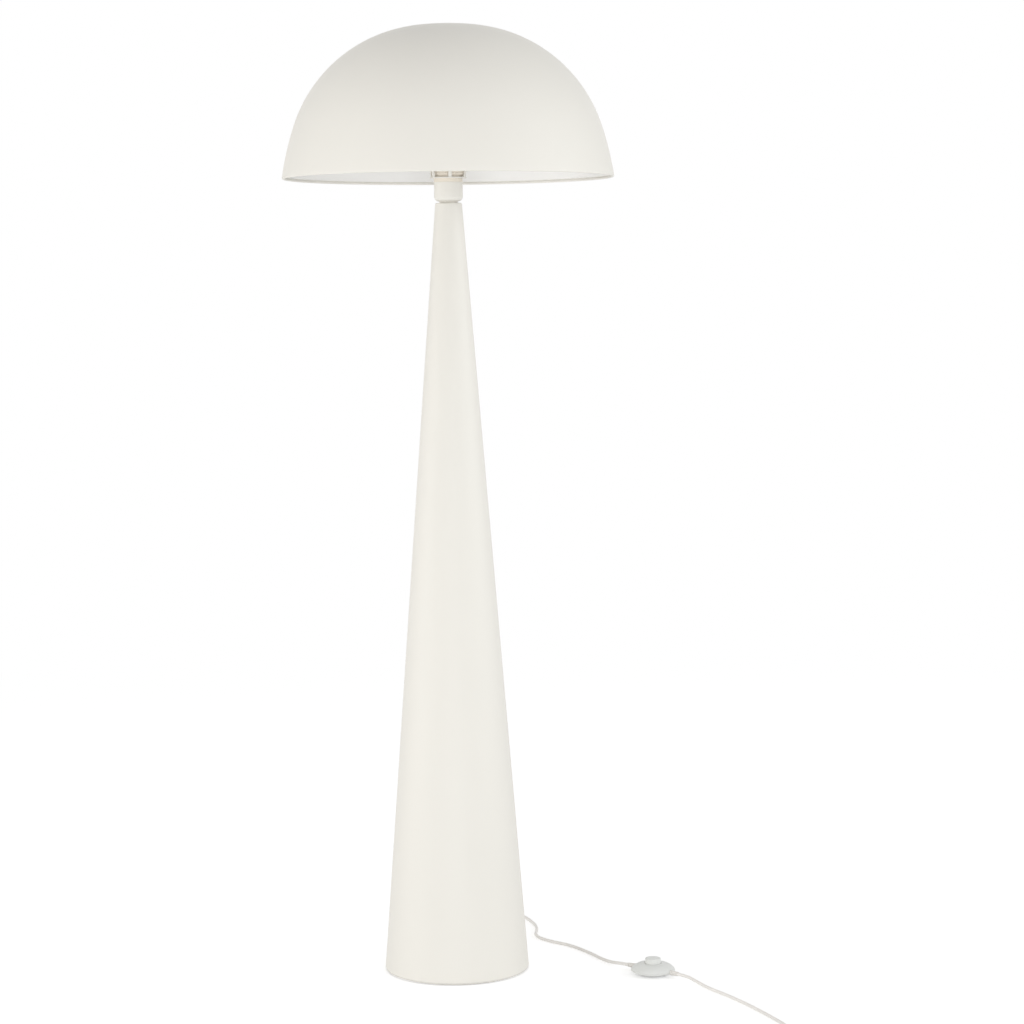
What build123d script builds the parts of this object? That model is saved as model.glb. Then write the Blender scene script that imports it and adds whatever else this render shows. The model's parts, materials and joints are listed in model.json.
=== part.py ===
"""Mushroom floor lamp, in millimetres.

The lamp's axis is +Z and its origin is the centre of its base, on the floor. The cord leaves
at the back (+Y), comes round on the floor to the right (+X) and runs to the front (-Y).
"""
from build123d import *
from math import atan2, cos, pi, radians, sin, sqrt, tan
import os

os.makedirs("parts", exist_ok=True)

# ---------------------------------------------------------------- driving dimensions
FIT = 0.05                  # clearance of a piece in its bore, per side
SLIDE = 0.6                 # clearance of a piece that moves, per side
OVER = 1.0                  # a cut reaches this far past what it cuts

# base and column
PAD_THICK = 2.0
PAD_MARGIN = 5.0            # felt stays this far inside the column's edge
LIP_THICK = 2.0             # ballast rim that carries the column
LIP_INSET = 0.6
BASE_R = 115.2              # column's outer radius at its lower edge
NECK_R = 21.0               # the same taper's radius at the column's top
COLUMN_H = 1219.0
COLUMN_WALL = 1.2
COLUMN_TOP_WALL = 3.0
COLUMN_TOP_ROUND = 3.0
BALLAST_H = 28.0
BALLAST_GAP = 0.4
BALLAST_CHAMFER = 2.0
RECESS_R = 28.0             # underside recess for nut, washer and the cord's bend
WEB_THICK = 6.0

# cord and its bush
CORD_R = 2.7
CORD_LIFT = 0.1             # cord's underside above the floor
CORD_END = 2.0              # cord's end above the pipe
ARC_SHARE = 0.45            # of its shorter run, that an arc of the cord's path takes
EXIT_Z = 11.0
CHANNEL_SIDE = 2.0          # room beside and over the cord in the ballast's channel
BUSH_WALL = 1.7             # wall of the bush's neck round the cord
BUSH_FLANGE_W = 1.9
BUSH_FLANGE_T = 1.6
BUSH_ROOT_W = 0.6           # sleeve's root past the neck
BUSH_TIP_WALL = 0.8
BUSH_SLEEVE = 22.0
BUSH_POCKET = 8.0           # depth of the ballast's pocket round the bush

# threaded pipe round the cord, with its nuts and washers
CORD_PLAY = 0.8
PIPE_WALL = 1.5
PIPE_STICK_OUT = 1.0        # thread showing past each nut
NUT_RIM = 2.0               # nut's metal between thread and flats
NUT_H = 4.0
CLAMP_WASHER_W = 7.0
CLAMP_WASHER_H = 2.0
NECK_WASHER_W = 10.0
NECK_GAP = 2.5

# lampholder
CUP_R = 22.5
CUP_H = 30.0
CUP_WALL = 1.3
CUP_FLOOR = 2.0
CUP_ROUND = 7.0
COLLAR_H = 5.5
COLLAR_EDGE = 0.5
THREAD_R = 19.9             # outside of the sleeve that the shade ring screws on
THREAD_H = 23.0
THREAD_GROOVES = 7
THREAD_DEPTH = 0.7
SPIGOT_H = 6.0              # sleeve's lower end, inside the cup
SPIGOT_WALL = 2.0
HOLDER_LEDGE = 3.0          # sleeve's inner ledge that holds the core down
CORE_H = 18.0
CORE_LEG_GAP = 1.0          # between the nut's corners and the core's legs
CORE_LEG_W = 5.0
CORE_LEG_D = 9.0
SHELL_WALL = 0.8
SHELL_LIP_R = 9.5
SHELL_H = 22.5
CONTACT_R = 4.5
CONTACT_H = 1.8
TERMINAL_R = 1.8
TERMINAL_H = 5.0
TERMINAL_HEAD = 1.0         # head below the core
TERMINAL_Y = 12.0

# bulb
BULB_CAP_R = 13.0
BULB_CAP_H = 20.5
BULB_CAP_ROUND = 1.5
BULB_TIP_GAP = 0.3
BULB_TIP_H = 1.2
BULB_INSULATOR_H = 3.5
BULB_NECK_R = 15.5
BULB_R = 30.0
BULB_LENGTH = 104.0
BULB_WALL = 1.2
BULB_SHOULDER_R = 16.0

# shade
RING_FOOT_H = 3.0
RING_FOOT_WALL = 3.0
RING_BAND_WALL = 5.4
RING_BAND_H = 4.2
RING_BANDS = 2
RING_ROUND = 0.9
RING_FLUTES = 36
RING_FLUTE_R = 1.6
RING_FLUTE_DEPTH = 0.6
CARRIER_T = 2.0
CARRIER_PLAY = 0.5          # base ring's hole round the thread
CARRIER_W = 8.6
RIB_COUNT = 6
RIB_FIRST = -84.0           # degrees; one rib stands just right of the front
RIB_W = 5.5
RIB_T = 2.4
RIB_INSET = 0.3             # ribs' outer face inside the base ring's edge
RIB_START_LEAN = 9.5        # degrees off vertical
CROWN_RING_R = 109.0
CROWN_RING_W = 17.0
CROWN_RING_T = 2.5
CROWN_RING_RISE = 199.0     # crown ring's underside above the base ring's top
STUD_COUNT = 3
STUD_R = 3.5
STUD_THREAD_R = 2.0
STUD_HOLE_R = 2.2
SHADE_NUT_FLATS = 7.0
SHADE_NUT_H = 3.2
DOME_WALL = 1.2
CROWN_ARC_R = 480.0         # three tangent arcs, from the top of the dome to its rim
SHOULDER_ARC_R = 227.4
SKIRT_ARC_R = 480.0
CROWN_ARC_END = 5.75        # degrees off vertical where each arc ends
SHOULDER_ARC_END = 71.4
SKIRT_ARC_END = 81.3
RIM_RISE = 0.37             # end of the skirt arc above the base ring's top
RIM_BEAD_R = 1.9
RIM_LEDGE = 1.5             # height of the turned-in edge above the bead

# foot switch
SWITCH_X = 311.0
SWITCH_Y = -62.0
SWITCH_TURN = -40.0         # degrees; direction of the cord through the switch
SWITCH_R = 35.0
SWITCH_FOOT_R = 25.5
SWITCH_WALL = 2.0
SWITCH_PART_Z = 7.5         # parting plane of base and cover
SWITCH_BAND = 1.2           # straight band each side of the parting plane
SWITCH_TOP_Z = 18.0
SWITCH_COLLAR_R = 16.5
SWITCH_BULGE_IN = 0.40      # where the cover's curve passes, as shares of its width and height
SWITCH_BULGE_UP = 0.70
SWITCH_PAD_R = 18.0
SWITCH_PAD_T = 1.5
BUTTON_R = 12.75
BUTTON_TOP_Z = 27.5
BUTTON_CROWN = 1.6
BUTTON_ROUND = 1.6
BUTTON_WALL = 2.2
BUTTON_FLANGE_W = 2.2
BUTTON_FLANGE_T = 2.0
BUTTON_REST_GAP = 0.3       # above the flange when the button is up
BUTTON_TRAVEL = 4.0
BUTTON_STOP_GAP = 1.7       # between the pressed flange and the core
SPRING_R = 5.0
SPRING_WIRE_R = 0.5
SPRING_TURNS = 5
SWITCH_CORE_R = 12.5
STRIP_X = 9.0
STRIP_W = 3.0
STRIP_L = 9.0
STRIP_T = 0.6
SCREW_COUNT = 3
SCREW_PITCH_R = 22.5
SCREW_R = 1.5
SCREW_HEAD_R = 2.8
SCREW_HEAD_H = 1.5
SCREW_L = 9.0
BOSS_R = 3.4
RELIEF_WALL = 0.7           # wall of the reliefs' neck round the cord
RELIEF_ROOT_W = 0.8
RELIEF_TIP_WALL = 0.6
RELIEF_SLEEVE = 14.0
RELIEF_GRIP_X = 25.0
RELIEF_GRIP_L = 2.5
CORD_IN_RELIEF = 16.0       # the free cord's length inside a relief
CORD_RUN_OUT = 14.0         # straight run past it

# plug
PLUG_W = 35.3
PLUG_T = 13.7
PLUG_L = 35.0
PLUG_FACE_L = 10.0
PLUG_REAR_W = 17.0
PLUG_REAR_T = 11.5
PLUG_CORNER = 5.5
PLUG_X = 396.0              # centre of its rear face on the floor
PLUG_Y = -524.0
PLUG_TURN = 172.0           # degrees; the way the pins point
GRIP_GROOVES = 4
GRIP_GROOVE_R = 1.3
GRIP_GROOVE_D = 0.6
GRIP_GROOVE_L = 14.0
GRIP_FIRST_X = 7.0
GRIP_PITCH = 3.8
PIN_SPACING = 18.6
PIN_R = 2.0
PIN_L = 19.0
PIN_TIP_L = 9.0
PIN_CORE_R = 1.2
PIN_ROOT_L = 8.0
SLEEVE_R = 1.65
PLUG_RELIEF_ROOT_WALL = 2.5
PLUG_RELIEF_TIP_WALL = 0.8
PLUG_RELIEF_L = 22.0
RELIEF_GROOVES = 4
RELIEF_GROOVE_W = 1.6
RELIEF_GROOVE_D = 0.7

# put-away coil
COIL_X = 468.0
COIL_Y = -476.0
COIL_OUTER_TURN_R = 36.5
COIL_INNER_TURN_R = 25.0
COIL_LAYERS = 2
COIL_IN_ANGLE = 10.0        # degrees; where the cord joins the coil and leaves it
COIL_OUT_ANGLE = 300.0
COIL_ROUND = 2.0

# ---------------------------------------------------------------- heights up the lamp
column_z = PAD_THICK + LIP_THICK
neck_z = column_z + COLUMN_H
cup_z = neck_z + NECK_GAP
collar_z = cup_z + CUP_H
seat_z = collar_z + COLLAR_H
ring_z = seat_z + CARRIER_T
rim_z = ring_z + RIM_RISE
web_z = PAD_THICK + BALLAST_H - WEB_THICK
cord_z = CORD_R + CORD_LIFT
lower_nut_z = web_z - CLAMP_WASHER_H - NUT_H
upper_nut_z = cup_z + CUP_FLOOR
pipe_low = lower_nut_z - PIPE_STICK_OUT
pipe_high = upper_nut_z + NUT_H + PIPE_STICK_OUT
taper = (BASE_R - NECK_R) / COLUMN_H
wall_across = COLUMN_WALL * sqrt(1 + taper ** 2)
pipe_bore_r = CORD_R + CORD_PLAY
pipe_r = pipe_bore_r + PIPE_WALL
nut_flats = 2 * (pipe_r + NUT_RIM)
bush_neck_r = CORD_R + BUSH_WALL
bush_flange_r = bush_neck_r + BUSH_FLANGE_W
shell_r = BULB_CAP_R + SLIDE + SHELL_WALL
carrier_hole_r = THREAD_R + CARRIER_PLAY
carrier_r = carrier_hole_r + CARRIER_W

core_top = seat_z - HOLDER_LEDGE
core_low = core_top - CORE_H
tip_z = core_top + CONTACT_H + BULB_TIP_GAP
bulb_insulator_z = tip_z + BULB_TIP_H
bulb_cap_z = bulb_insulator_z + BULB_INSULATOR_H
bulb_glass_z = bulb_cap_z + BULB_CAP_H
crown_ring_z = ring_z + CROWN_RING_RISE
shade_nut_z = crown_ring_z - SHADE_NUT_H
rib_low = (carrier_r - RIB_INSET, seat_z + CARRIER_T / 2)
rib_high = (CROWN_RING_R, crown_ring_z + CROWN_RING_T / 2)
stud_angles = [RIB_FIRST + 180 / RIB_COUNT + 360 / STUD_COUNT * k for k in range(STUD_COUNT)]

switch_place = Pos(SWITCH_X, SWITCH_Y, 0) * Rot(0, 0, SWITCH_TURN)
switch_floor = SWITCH_PAD_T + SWITCH_WALL
switch_ceiling = SWITCH_TOP_Z - SWITCH_WALL
button_hole_r = BUTTON_R + SLIDE
button_flange_z = switch_ceiling - BUTTON_REST_GAP - BUTTON_FLANGE_T
spring_low = button_flange_z - BUTTON_TRAVEL - BUTTON_STOP_GAP
spring_high = BUTTON_TOP_Z - BUTTON_WALL
screw_angles = [90 + 360 / SCREW_COUNT * k for k in range(SCREW_COUNT)]
relief_neck_r = CORD_R + RELIEF_WALL
relief_tip = SWITCH_R + RELIEF_SLEEVE

coil_top_z = cord_z + (COIL_LAYERS - 1) * 2 * (CORD_R + CORD_LIFT)
plug_rear = (PLUG_X, PLUG_Y, PLUG_T / 2 + CORD_LIFT)
plug_place = Pos(*plug_rear) * Rot(0, 0, PLUG_TURN)


def column_r(z):
    """Outer radius of the column at height z."""
    return BASE_R - taper * (z - column_z)


bush_mouth_y = column_r(EXIT_Z) + BUSH_FLANGE_T + BUSH_SLEEVE

# ---------------------------------------------------------------- helpers
BOTTOM = (Align.CENTER, Align.CENTER, Align.MIN)


def post(radius, z_low, z_high, x=0.0, y=0.0):
    """Upright cylinder between two heights."""
    return Pos(x, y, z_low) * Cylinder(radius, z_high - z_low, align=BOTTOM)


def ring(r_out, r_in, z_low, z_high):
    """Flat ring round the lamp's axis."""
    return post(r_out, z_low, z_high) - post(r_in, z_low - OVER, z_high + OVER)


def frustum(r_low, r_high, z_low, z_high):
    """Upright truncated cone."""
    return Pos(0, 0, z_low) * Cone(r_low, r_high, z_high - z_low, align=BOTTOM)


def turned(*corners):
    """Solid of revolution about Z from the corners (radius, height) of its section."""
    return revolve(Plane.XZ * make_face(Polyline(*corners, close=True)), Axis.Z)


def along_x(solid):
    """Lay a piece that was turned about Z along X, its top end pointing to +X."""
    return Rot(0, 90, 0) * solid


def hexagon(flats, z_low, z_high, bore_r):
    """Hexagon nut on the axis."""
    profile = RegularPolygon(flats / 2, 6, major_radius=False)
    body = Pos(0, 0, z_low) * extrude(profile, z_high - z_low)
    return body - post(bore_r, z_low - OVER, z_high + OVER)


def around(piece, count, first=0.0):
    """Copies of a piece evenly spaced round Z."""
    return [Rot(0, 0, first + 360 / count * k) * piece for k in range(count)]


def cord_tube(points):
    """Cord along straight runs joined by tangent arcs as large as the runs allow."""
    corners = [Vector(*p) for p in points]
    radii = []
    for before, corner, after in zip(corners, corners[1:], corners[2:]):
        turn = radians((corner - before).get_angle(after - corner))
        shorter = min((corner - before).length, (after - corner).length)
        radii.append(ARC_SHARE * shorter / tan(turn / 2))
    path = FilletPolyline(*corners, radius=radii)
    print("   arc radii", [round(r) for r in radii], "length", round(path.length, 1))
    return sweep_cord(path)


def sweep_cord(path):
    """Round cord along a path, with its volume compared with section times length."""
    tube = sweep(Plane(path @ 0, z_dir=path % 0) * Circle(CORD_R), path)
    print("   volume ratio", round(tube.volume / (pi * CORD_R ** 2 * path.length), 4))
    return tube


def save(name, piece):
    """Write one node, one solid or a group of like solids."""
    solids = piece if isinstance(piece, list) else [piece]
    solids = [s for item in solids for s in item.solids()]
    shape = solids[0] if len(solids) == 1 else Compound(children=solids)
    export_step(shape, f"parts/{name}.step")
    print(name, len(solids), round(shape.volume / 1000, 2), "cm3")


# ---------------------------------------------------------------- base and column
def base_pad():
    return post(BASE_R - PAD_MARGIN, 0, PAD_THICK)


def ballast():
    low, high = PAD_THICK, PAD_THICK + BALLAST_H
    inside = wall_across + BALLAST_GAP
    body = turned(
        (0, low),
        (BASE_R - LIP_INSET, low),
        (BASE_R - LIP_INSET, column_z),
        (column_r(column_z) - inside, column_z),
        (column_r(high) - inside, high - BALLAST_CHAMFER),
        (column_r(high) - inside - BALLAST_CHAMFER, high),
        (0, high),
    )
    body -= post(RECESS_R, low - OVER, web_z)
    body -= post(pipe_r + FIT, low, high + OVER)
    half_width = CORD_R + CHANNEL_SIDE
    roof = EXIT_Z + half_width
    channel = Box(2 * half_width, BASE_R, roof - low, align=(Align.CENTER, Align.MIN, Align.MIN))
    body -= Pos(0, 0, low) * channel
    pocket = Cylinder(bush_flange_r + BALLAST_GAP, 2 * BUSH_POCKET)
    body -= Pos(0, column_r(EXIT_Z), EXIT_Z) * Rot(90, 0, 0) * pocket
    return body


def column_shell():
    outer = frustum(BASE_R, NECK_R, column_z, neck_z)
    outer = fillet(outer.edges().sort_by(Axis.Z)[-1], COLUMN_TOP_ROUND)
    roof = neck_z - COLUMN_TOP_WALL
    inner = frustum(BASE_R - wall_across, column_r(roof) - wall_across, column_z, roof)
    hole = Pos(0, BASE_R, EXIT_Z) * Rot(90, 0, 0) * Cylinder(bush_neck_r + FIT, BASE_R)
    return outer - inner - post(pipe_r + FIT, roof - OVER, neck_z + OVER) - hole


def cord_bush():
    wall_y = column_r(EXIT_Z)
    inner_y = wall_y - wall_across - BUSH_FLANGE_T
    grown = frustum(BASE_R + FIT, NECK_R + FIT, column_z, neck_z)
    shrunk = frustum(BASE_R - wall_across - FIT, NECK_R - wall_across - FIT, column_z, neck_z)

    def facing_back(radius_low, radius_high, y_low, y_high):
        cone = frustum(radius_low, radius_high, y_low, y_high)
        return Pos(0, 0, EXIT_Z) * Rot(-90, 0, 0) * cone

    def barrel(radius, y_low, y_high):
        return Pos(0, 0, EXIT_Z) * Rot(-90, 0, 0) * post(radius, y_low, y_high)

    flange_y = wall_y + BUSH_FLANGE_T
    outside = barrel(bush_flange_r, wall_y - COLUMN_WALL / 2, flange_y) - grown
    inside = barrel(bush_flange_r, inner_y, wall_y - COLUMN_WALL / 2) & shrunk
    neck = barrel(bush_neck_r, inner_y, flange_y)
    sleeve = facing_back(bush_neck_r + BUSH_ROOT_W, CORD_R + BUSH_TIP_WALL, flange_y, bush_mouth_y)
    return outside + inside + neck + sleeve - barrel(CORD_R + FIT, 0, bush_mouth_y + OVER)


def pipe_nut(z_low):
    return hexagon(nut_flats, z_low, z_low + NUT_H, pipe_r + FIT)


# ---------------------------------------------------------------- lampholder
def holder_cup():
    body = post(CUP_R, cup_z, collar_z)
    body = fillet(body.edges().sort_by(Axis.Z)[0], CUP_ROUND)
    room = post(CUP_R - CUP_WALL, cup_z + CUP_FLOOR, collar_z + OVER)
    room = fillet(room.edges().sort_by(Axis.Z)[0], CUP_ROUND - CUP_WALL)
    return body - room - post(pipe_r + FIT, cup_z - OVER, collar_z)


def holder_core():
    """Contact block that stands on two legs in the cup, each side of the nut."""
    spigot_bore = CUP_R - CUP_WALL - FIT - SPIGOT_WALL
    leg_x = nut_flats / 2 / cos(radians(30)) + CORE_LEG_GAP + CORE_LEG_W / 2
    body = post(spigot_bore - FIT, core_low, core_top)
    leg = Box(CORE_LEG_W, CORE_LEG_D, core_low - upper_nut_z, align=BOTTOM)
    for side in (-1, 1):
        body += Pos(side * leg_x, 0, upper_nut_z) * leg
        body -= post(TERMINAL_R + FIT, core_low - OVER, core_low + TERMINAL_H, y=side * TERMINAL_Y)
    return body


def holder_skirt():
    """Collar, threaded sleeve above it and spigot below it in one moulding."""
    top = seat_z + THREAD_H
    cup_bore = CUP_R - CUP_WALL - FIT
    body = post(CUP_R, collar_z, seat_z)
    body = chamfer(body.edges().filter_by(GeomType.CIRCLE), COLLAR_EDGE)
    body += post(cup_bore, collar_z - SPIGOT_H, collar_z + COLLAR_EDGE)
    body += post(THREAD_R, seat_z - COLLAR_EDGE, top)
    pitch = (THREAD_H - RING_FOOT_H) / THREAD_GROOVES
    for k in range(THREAD_GROOVES):
        z = top - pitch * (k + 0.75)
        groove = Plane.XZ * Pos(THREAD_R, z) * Rectangle(2 * THREAD_DEPTH, pitch / 2)
        body -= revolve(groove, Axis.Z)
    body -= post(shell_r + FIT, core_top - OVER, top + OVER)
    return body - post(cup_bore - SPIGOT_WALL, collar_z - SPIGOT_H - OVER, core_top)


def screw_shell():
    tube = ring(shell_r, shell_r - SHELL_WALL, core_top, core_top + SHELL_H)
    return tube + ring(shell_r, SHELL_LIP_R, core_top, core_top + SHELL_WALL)


def centre_contact():
    disc = post(CONTACT_R, core_top, core_top + CONTACT_H)
    return fillet(disc.edges().sort_by(Axis.Z)[-1], CONTACT_H / 2)


def terminal_screws():
    return [
        post(TERMINAL_R, core_low - TERMINAL_HEAD, core_low + TERMINAL_H - FIT, y=side * TERMINAL_Y)
        for side in (-1, 1)
    ]


# ---------------------------------------------------------------- bulb
def bulb_contact():
    tip = post(CONTACT_R, tip_z, bulb_insulator_z)
    return fillet(tip.edges().sort_by(Axis.Z)[0], BULB_TIP_H / 2)


def bulb_insulator():
    return frustum(CONTACT_R, BULB_CAP_R - BULB_CAP_ROUND, bulb_insulator_z, bulb_cap_z)


def bulb_cap():
    cap = post(BULB_CAP_R, bulb_cap_z, bulb_glass_z)
    return fillet(cap.edges().sort_by(Axis.Z)[0], BULB_CAP_ROUND)


def bulb_body(wall):
    """Bulb's outline inset by a wall: a neck blended into a globe."""
    centre_z = tip_z + BULB_LENGTH - BULB_R
    neck = post(BULB_NECK_R - wall, bulb_glass_z + wall, centre_z)
    body = neck + Pos(0, 0, centre_z) * Sphere(BULB_R - wall)
    seam = body.edges().filter_by(GeomType.CIRCLE).filter_by_position(
        Axis.Z, bulb_glass_z + wall + OVER, centre_z - OVER
    )
    return fillet(seam, BULB_SHOULDER_R + wall)


def bulb_glass():
    return bulb_body(0) - bulb_body(BULB_WALL)


# ---------------------------------------------------------------- shade
def shade_ring():
    """Ring of rounded, fluted bands on a narrow foot, on the lampholder's thread."""
    bore = THREAD_R + FIT
    flute_x = bore + RING_BAND_WALL + RING_FLUTE_R - RING_FLUTE_DEPTH
    flute_low = ring_z + RING_FOOT_H
    flute_top = flute_low + RING_BANDS * RING_BAND_H
    body = ring(bore + RING_FOOT_WALL, bore, ring_z, ring_z + RING_FOOT_H)
    for k in range(RING_BANDS):
        low = ring_z + RING_FOOT_H + k * RING_BAND_H
        band = post(bore + RING_BAND_WALL, low, low + RING_BAND_H)
        band = fillet(band.edges().filter_by(GeomType.CIRCLE), RING_ROUND)
        body += band - post(bore, low - OVER, low + RING_BAND_H + OVER)
    flute = post(RING_FLUTE_R, flute_low - OVER, flute_top + OVER, x=flute_x)
    return body - around(flute, RING_FLUTES)


def rib():
    """One rib in the XZ plane, bent on one arc from the base ring to the crown ring."""
    run = rib_high[0] - rib_low[0]
    rise = rib_high[1] - rib_low[1]
    lean_low = radians(RIB_START_LEAN)
    lean_high = 2 * atan2(run, rise) - lean_low
    lean_mid = (lean_low + lean_high) / 2
    bend_r = sqrt(run ** 2 + rise ** 2) / (2 * sin((lean_high - lean_low) / 2))
    centre = (rib_low[0] + bend_r * cos(lean_low), rib_low[1] - bend_r * sin(lean_low))

    def on_arc(radius, lean):
        return (centre[0] - radius * cos(lean), centre[1] + radius * sin(lean))

    leans = (lean_low, lean_mid, lean_high)
    outer = [on_arc(bend_r, lean) for lean in leans]
    inner = [on_arc(bend_r + RIB_T, lean) for lean in leans]
    outline = ThreePointArc(*outer) + Line(outer[2], inner[2])
    outline += ThreePointArc(*reversed(inner)) + Line(inner[0], outer[0])
    return extrude(Plane.XZ * make_face(outline), RIB_W / 2, both=True)


def at_studs(piece):
    """Copies of a piece on the stud circle."""
    return [Rot(0, 0, angle) * Pos(CROWN_RING_R, 0, 0) * piece for angle in stud_angles]


def shade_carrier():
    body = ring(carrier_r, carrier_hole_r, seat_z, ring_z)
    half = CROWN_RING_W / 2
    body += ring(
        CROWN_RING_R + half, CROWN_RING_R - half, crown_ring_z, crown_ring_z + CROWN_RING_T
    )
    for copy in around(rib(), RIB_COUNT, RIB_FIRST):
        body += copy
    for hole in at_studs(post(STUD_HOLE_R, crown_ring_z - OVER, crown_ring_z + CROWN_RING_T + OVER)):
        body -= hole
    return body


def dome_centres():
    """Centres of the three arcs, worked up from the height of the rim."""
    first = radians(CROWN_ARC_END)
    second = radians(SHOULDER_ARC_END)
    last = radians(SKIRT_ARC_END)
    shoulder_x = (CROWN_ARC_R - SHOULDER_ARC_R) * sin(first)
    shoulder_up = (CROWN_ARC_R - SHOULDER_ARC_R) * cos(first)
    skirt_x = shoulder_x + (SHOULDER_ARC_R - SKIRT_ARC_R) * sin(second)
    skirt_up = shoulder_up + (SHOULDER_ARC_R - SKIRT_ARC_R) * cos(second)
    crown_z = rim_z - skirt_up - SKIRT_ARC_R * cos(last)
    return (0, crown_z), (shoulder_x, crown_z + shoulder_up), (skirt_x, crown_z + skirt_up)


def dome_arcs(inset):
    """The three arcs at a distance inside the outer face, as points start, middle, end."""
    radii = (CROWN_ARC_R, SHOULDER_ARC_R, SKIRT_ARC_R)
    ends = (0, CROWN_ARC_END, SHOULDER_ARC_END, SKIRT_ARC_END)
    arcs = []
    for (x, z), radius, low, high in zip(dome_centres(), radii, ends, ends[1:]):
        angles = [radians(a) for a in (low, (low + high) / 2, high)]
        arcs.append([(x + (radius - inset) * sin(a), z + (radius - inset) * cos(a)) for a in angles])
    return arcs


def dome_line(inset):
    """The three arcs as one line, crown to rim."""
    first, second, third = [ThreePointArc(*arc) for arc in dome_arcs(inset)]
    return first + second + third


def shade_dome():
    """Spun dome whose edge is rolled inwards to a round bead."""
    lean = radians(SKIRT_ARC_END)
    out = Vector(sin(lean), cos(lean))
    down = Vector(cos(lean), -sin(lean))
    edge = Vector(*dome_arcs(0)[-1][-1])
    bead_in = edge - out * 2 * RIM_BEAD_R
    bead_low = edge - out * RIM_BEAD_R + down * RIM_BEAD_R
    ledge_in = bead_in - down * RIM_LEDGE
    ledge_out = edge - out * DOME_WALL - down * RIM_LEDGE
    inner_edge = Vector(*dome_arcs(DOME_WALL)[-1][-1])
    crown_out = dome_arcs(0)[0][0]
    crown_in = dome_arcs(DOME_WALL)[0][0]
    sheet = dome_line(0) + Line(edge, inner_edge) + dome_line(DOME_WALL) + Line(crown_in, crown_out)
    bead = ThreePointArc(edge, bead_low, bead_in) + Line(bead_in, ledge_in)
    bead += Line(ledge_in, ledge_out) + Line(ledge_out, inner_edge) + Line(inner_edge, edge)
    shell = revolve(Plane.XZ * make_face(sheet), Axis.Z)
    return shell + revolve(Plane.XZ * make_face(bead), Axis.Z)


def dome_inside():
    """The room inside the dome, down to its rim."""
    top = dome_arcs(DOME_WALL)[0][0]
    edge = dome_arcs(DOME_WALL)[-1][-1]
    outline = dome_line(DOME_WALL) + Line(edge, (0, edge[1])) + Line((0, edge[1]), top)
    return revolve(Plane.XZ * make_face(outline), Axis.Z)


def shade_studs():
    """Stand-off studs that reach from the crown ring to the dome's inner face."""
    room = dome_inside()
    top = crown_ring_z + CROWN_RING_T
    blank = post(STUD_R, top, rim_z + SHOULDER_ARC_R + CROWN_ARC_R)
    thread = post(STUD_THREAD_R, shade_nut_z - PIPE_STICK_OUT, top)
    return [(copy & room) + tail for copy, tail in zip(at_studs(blank), at_studs(thread))]


def shade_nuts():
    nut = hexagon(SHADE_NUT_FLATS, shade_nut_z, crown_ring_z, STUD_THREAD_R + FIT)
    return at_studs(nut)


# ---------------------------------------------------------------- foot switch, on its own axis
def at_screws(piece):
    """Copies of a piece at the switch's screws."""
    return [Rot(0, 0, angle) * Pos(SCREW_PITCH_R, 0, 0) * piece for angle in screw_angles]


def cover_solid(inset):
    """The cover's domed outline, inset by its wall, down to the parting plane."""
    side = SWITCH_R - inset
    top = SWITCH_TOP_Z - inset
    shoulder = SWITCH_PART_Z + SWITCH_BAND
    bulge_x = side - (side - SWITCH_COLLAR_R) * SWITCH_BULGE_IN
    bulge = (bulge_x, shoulder + (top - shoulder) * SWITCH_BULGE_UP)
    outline = Line((0, SWITCH_PART_Z), (side, SWITCH_PART_Z))
    outline += Line((side, SWITCH_PART_Z), (side, shoulder))
    outline += ThreePointArc((side, shoulder), bulge, (SWITCH_COLLAR_R, top))
    outline += Line((SWITCH_COLLAR_R, top), (0, top)) + Line((0, top), (0, SWITCH_PART_Z))
    return revolve(Plane.XZ * make_face(outline), Axis.Z)


def relief_bore():
    """The hole that the cord's neck takes through the switch, both sides."""
    return Pos(0, 0, SWITCH_PART_Z) * along_x(Cylinder(relief_neck_r + FIT, 4 * SWITCH_R))


def switch_cover():
    envelope = cover_solid(0)
    body = envelope - cover_solid(SWITCH_WALL)
    for boss in at_screws(post(BOSS_R, SWITCH_PART_Z, SWITCH_TOP_Z)):
        body += boss & envelope
    for bore in at_screws(post(SCREW_R + FIT, SWITCH_PART_Z - OVER, SWITCH_PAD_T + SCREW_L + OVER)):
        body -= bore
    body -= post(button_hole_r, SWITCH_PART_Z, SWITCH_TOP_Z + OVER)
    return body - relief_bore()


def switch_base():
    low = SWITCH_PAD_T
    band_low = SWITCH_PART_Z - SWITCH_BAND
    rim = SWITCH_R - SWITCH_WALL
    body = turned(
        (0, low),
        (SWITCH_FOOT_R, low),
        (SWITCH_R, band_low),
        (SWITCH_R, SWITCH_PART_Z),
        (rim, SWITCH_PART_Z),
        (rim, band_low + SWITCH_WALL / 4),
        (SWITCH_FOOT_R, switch_floor),
        (0, switch_floor),
    )
    for boss in at_screws(post(BOSS_R, low + SWITCH_WALL / 2, SWITCH_PART_Z)):
        body += boss
    head = frustum(SCREW_HEAD_R + FIT, SCREW_R + FIT, low, low + SCREW_HEAD_H)
    for bore in at_screws(head + post(SCREW_R + FIT, low, SWITCH_PART_Z + OVER)):
        body -= bore
    return body - relief_bore()


def switch_screws():
    low = SWITCH_PAD_T
    head = frustum(SCREW_HEAD_R, SCREW_R, low, low + SCREW_HEAD_H)
    return at_screws(head + post(SCREW_R, low + SCREW_HEAD_H / 2, low + SCREW_L))


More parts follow.
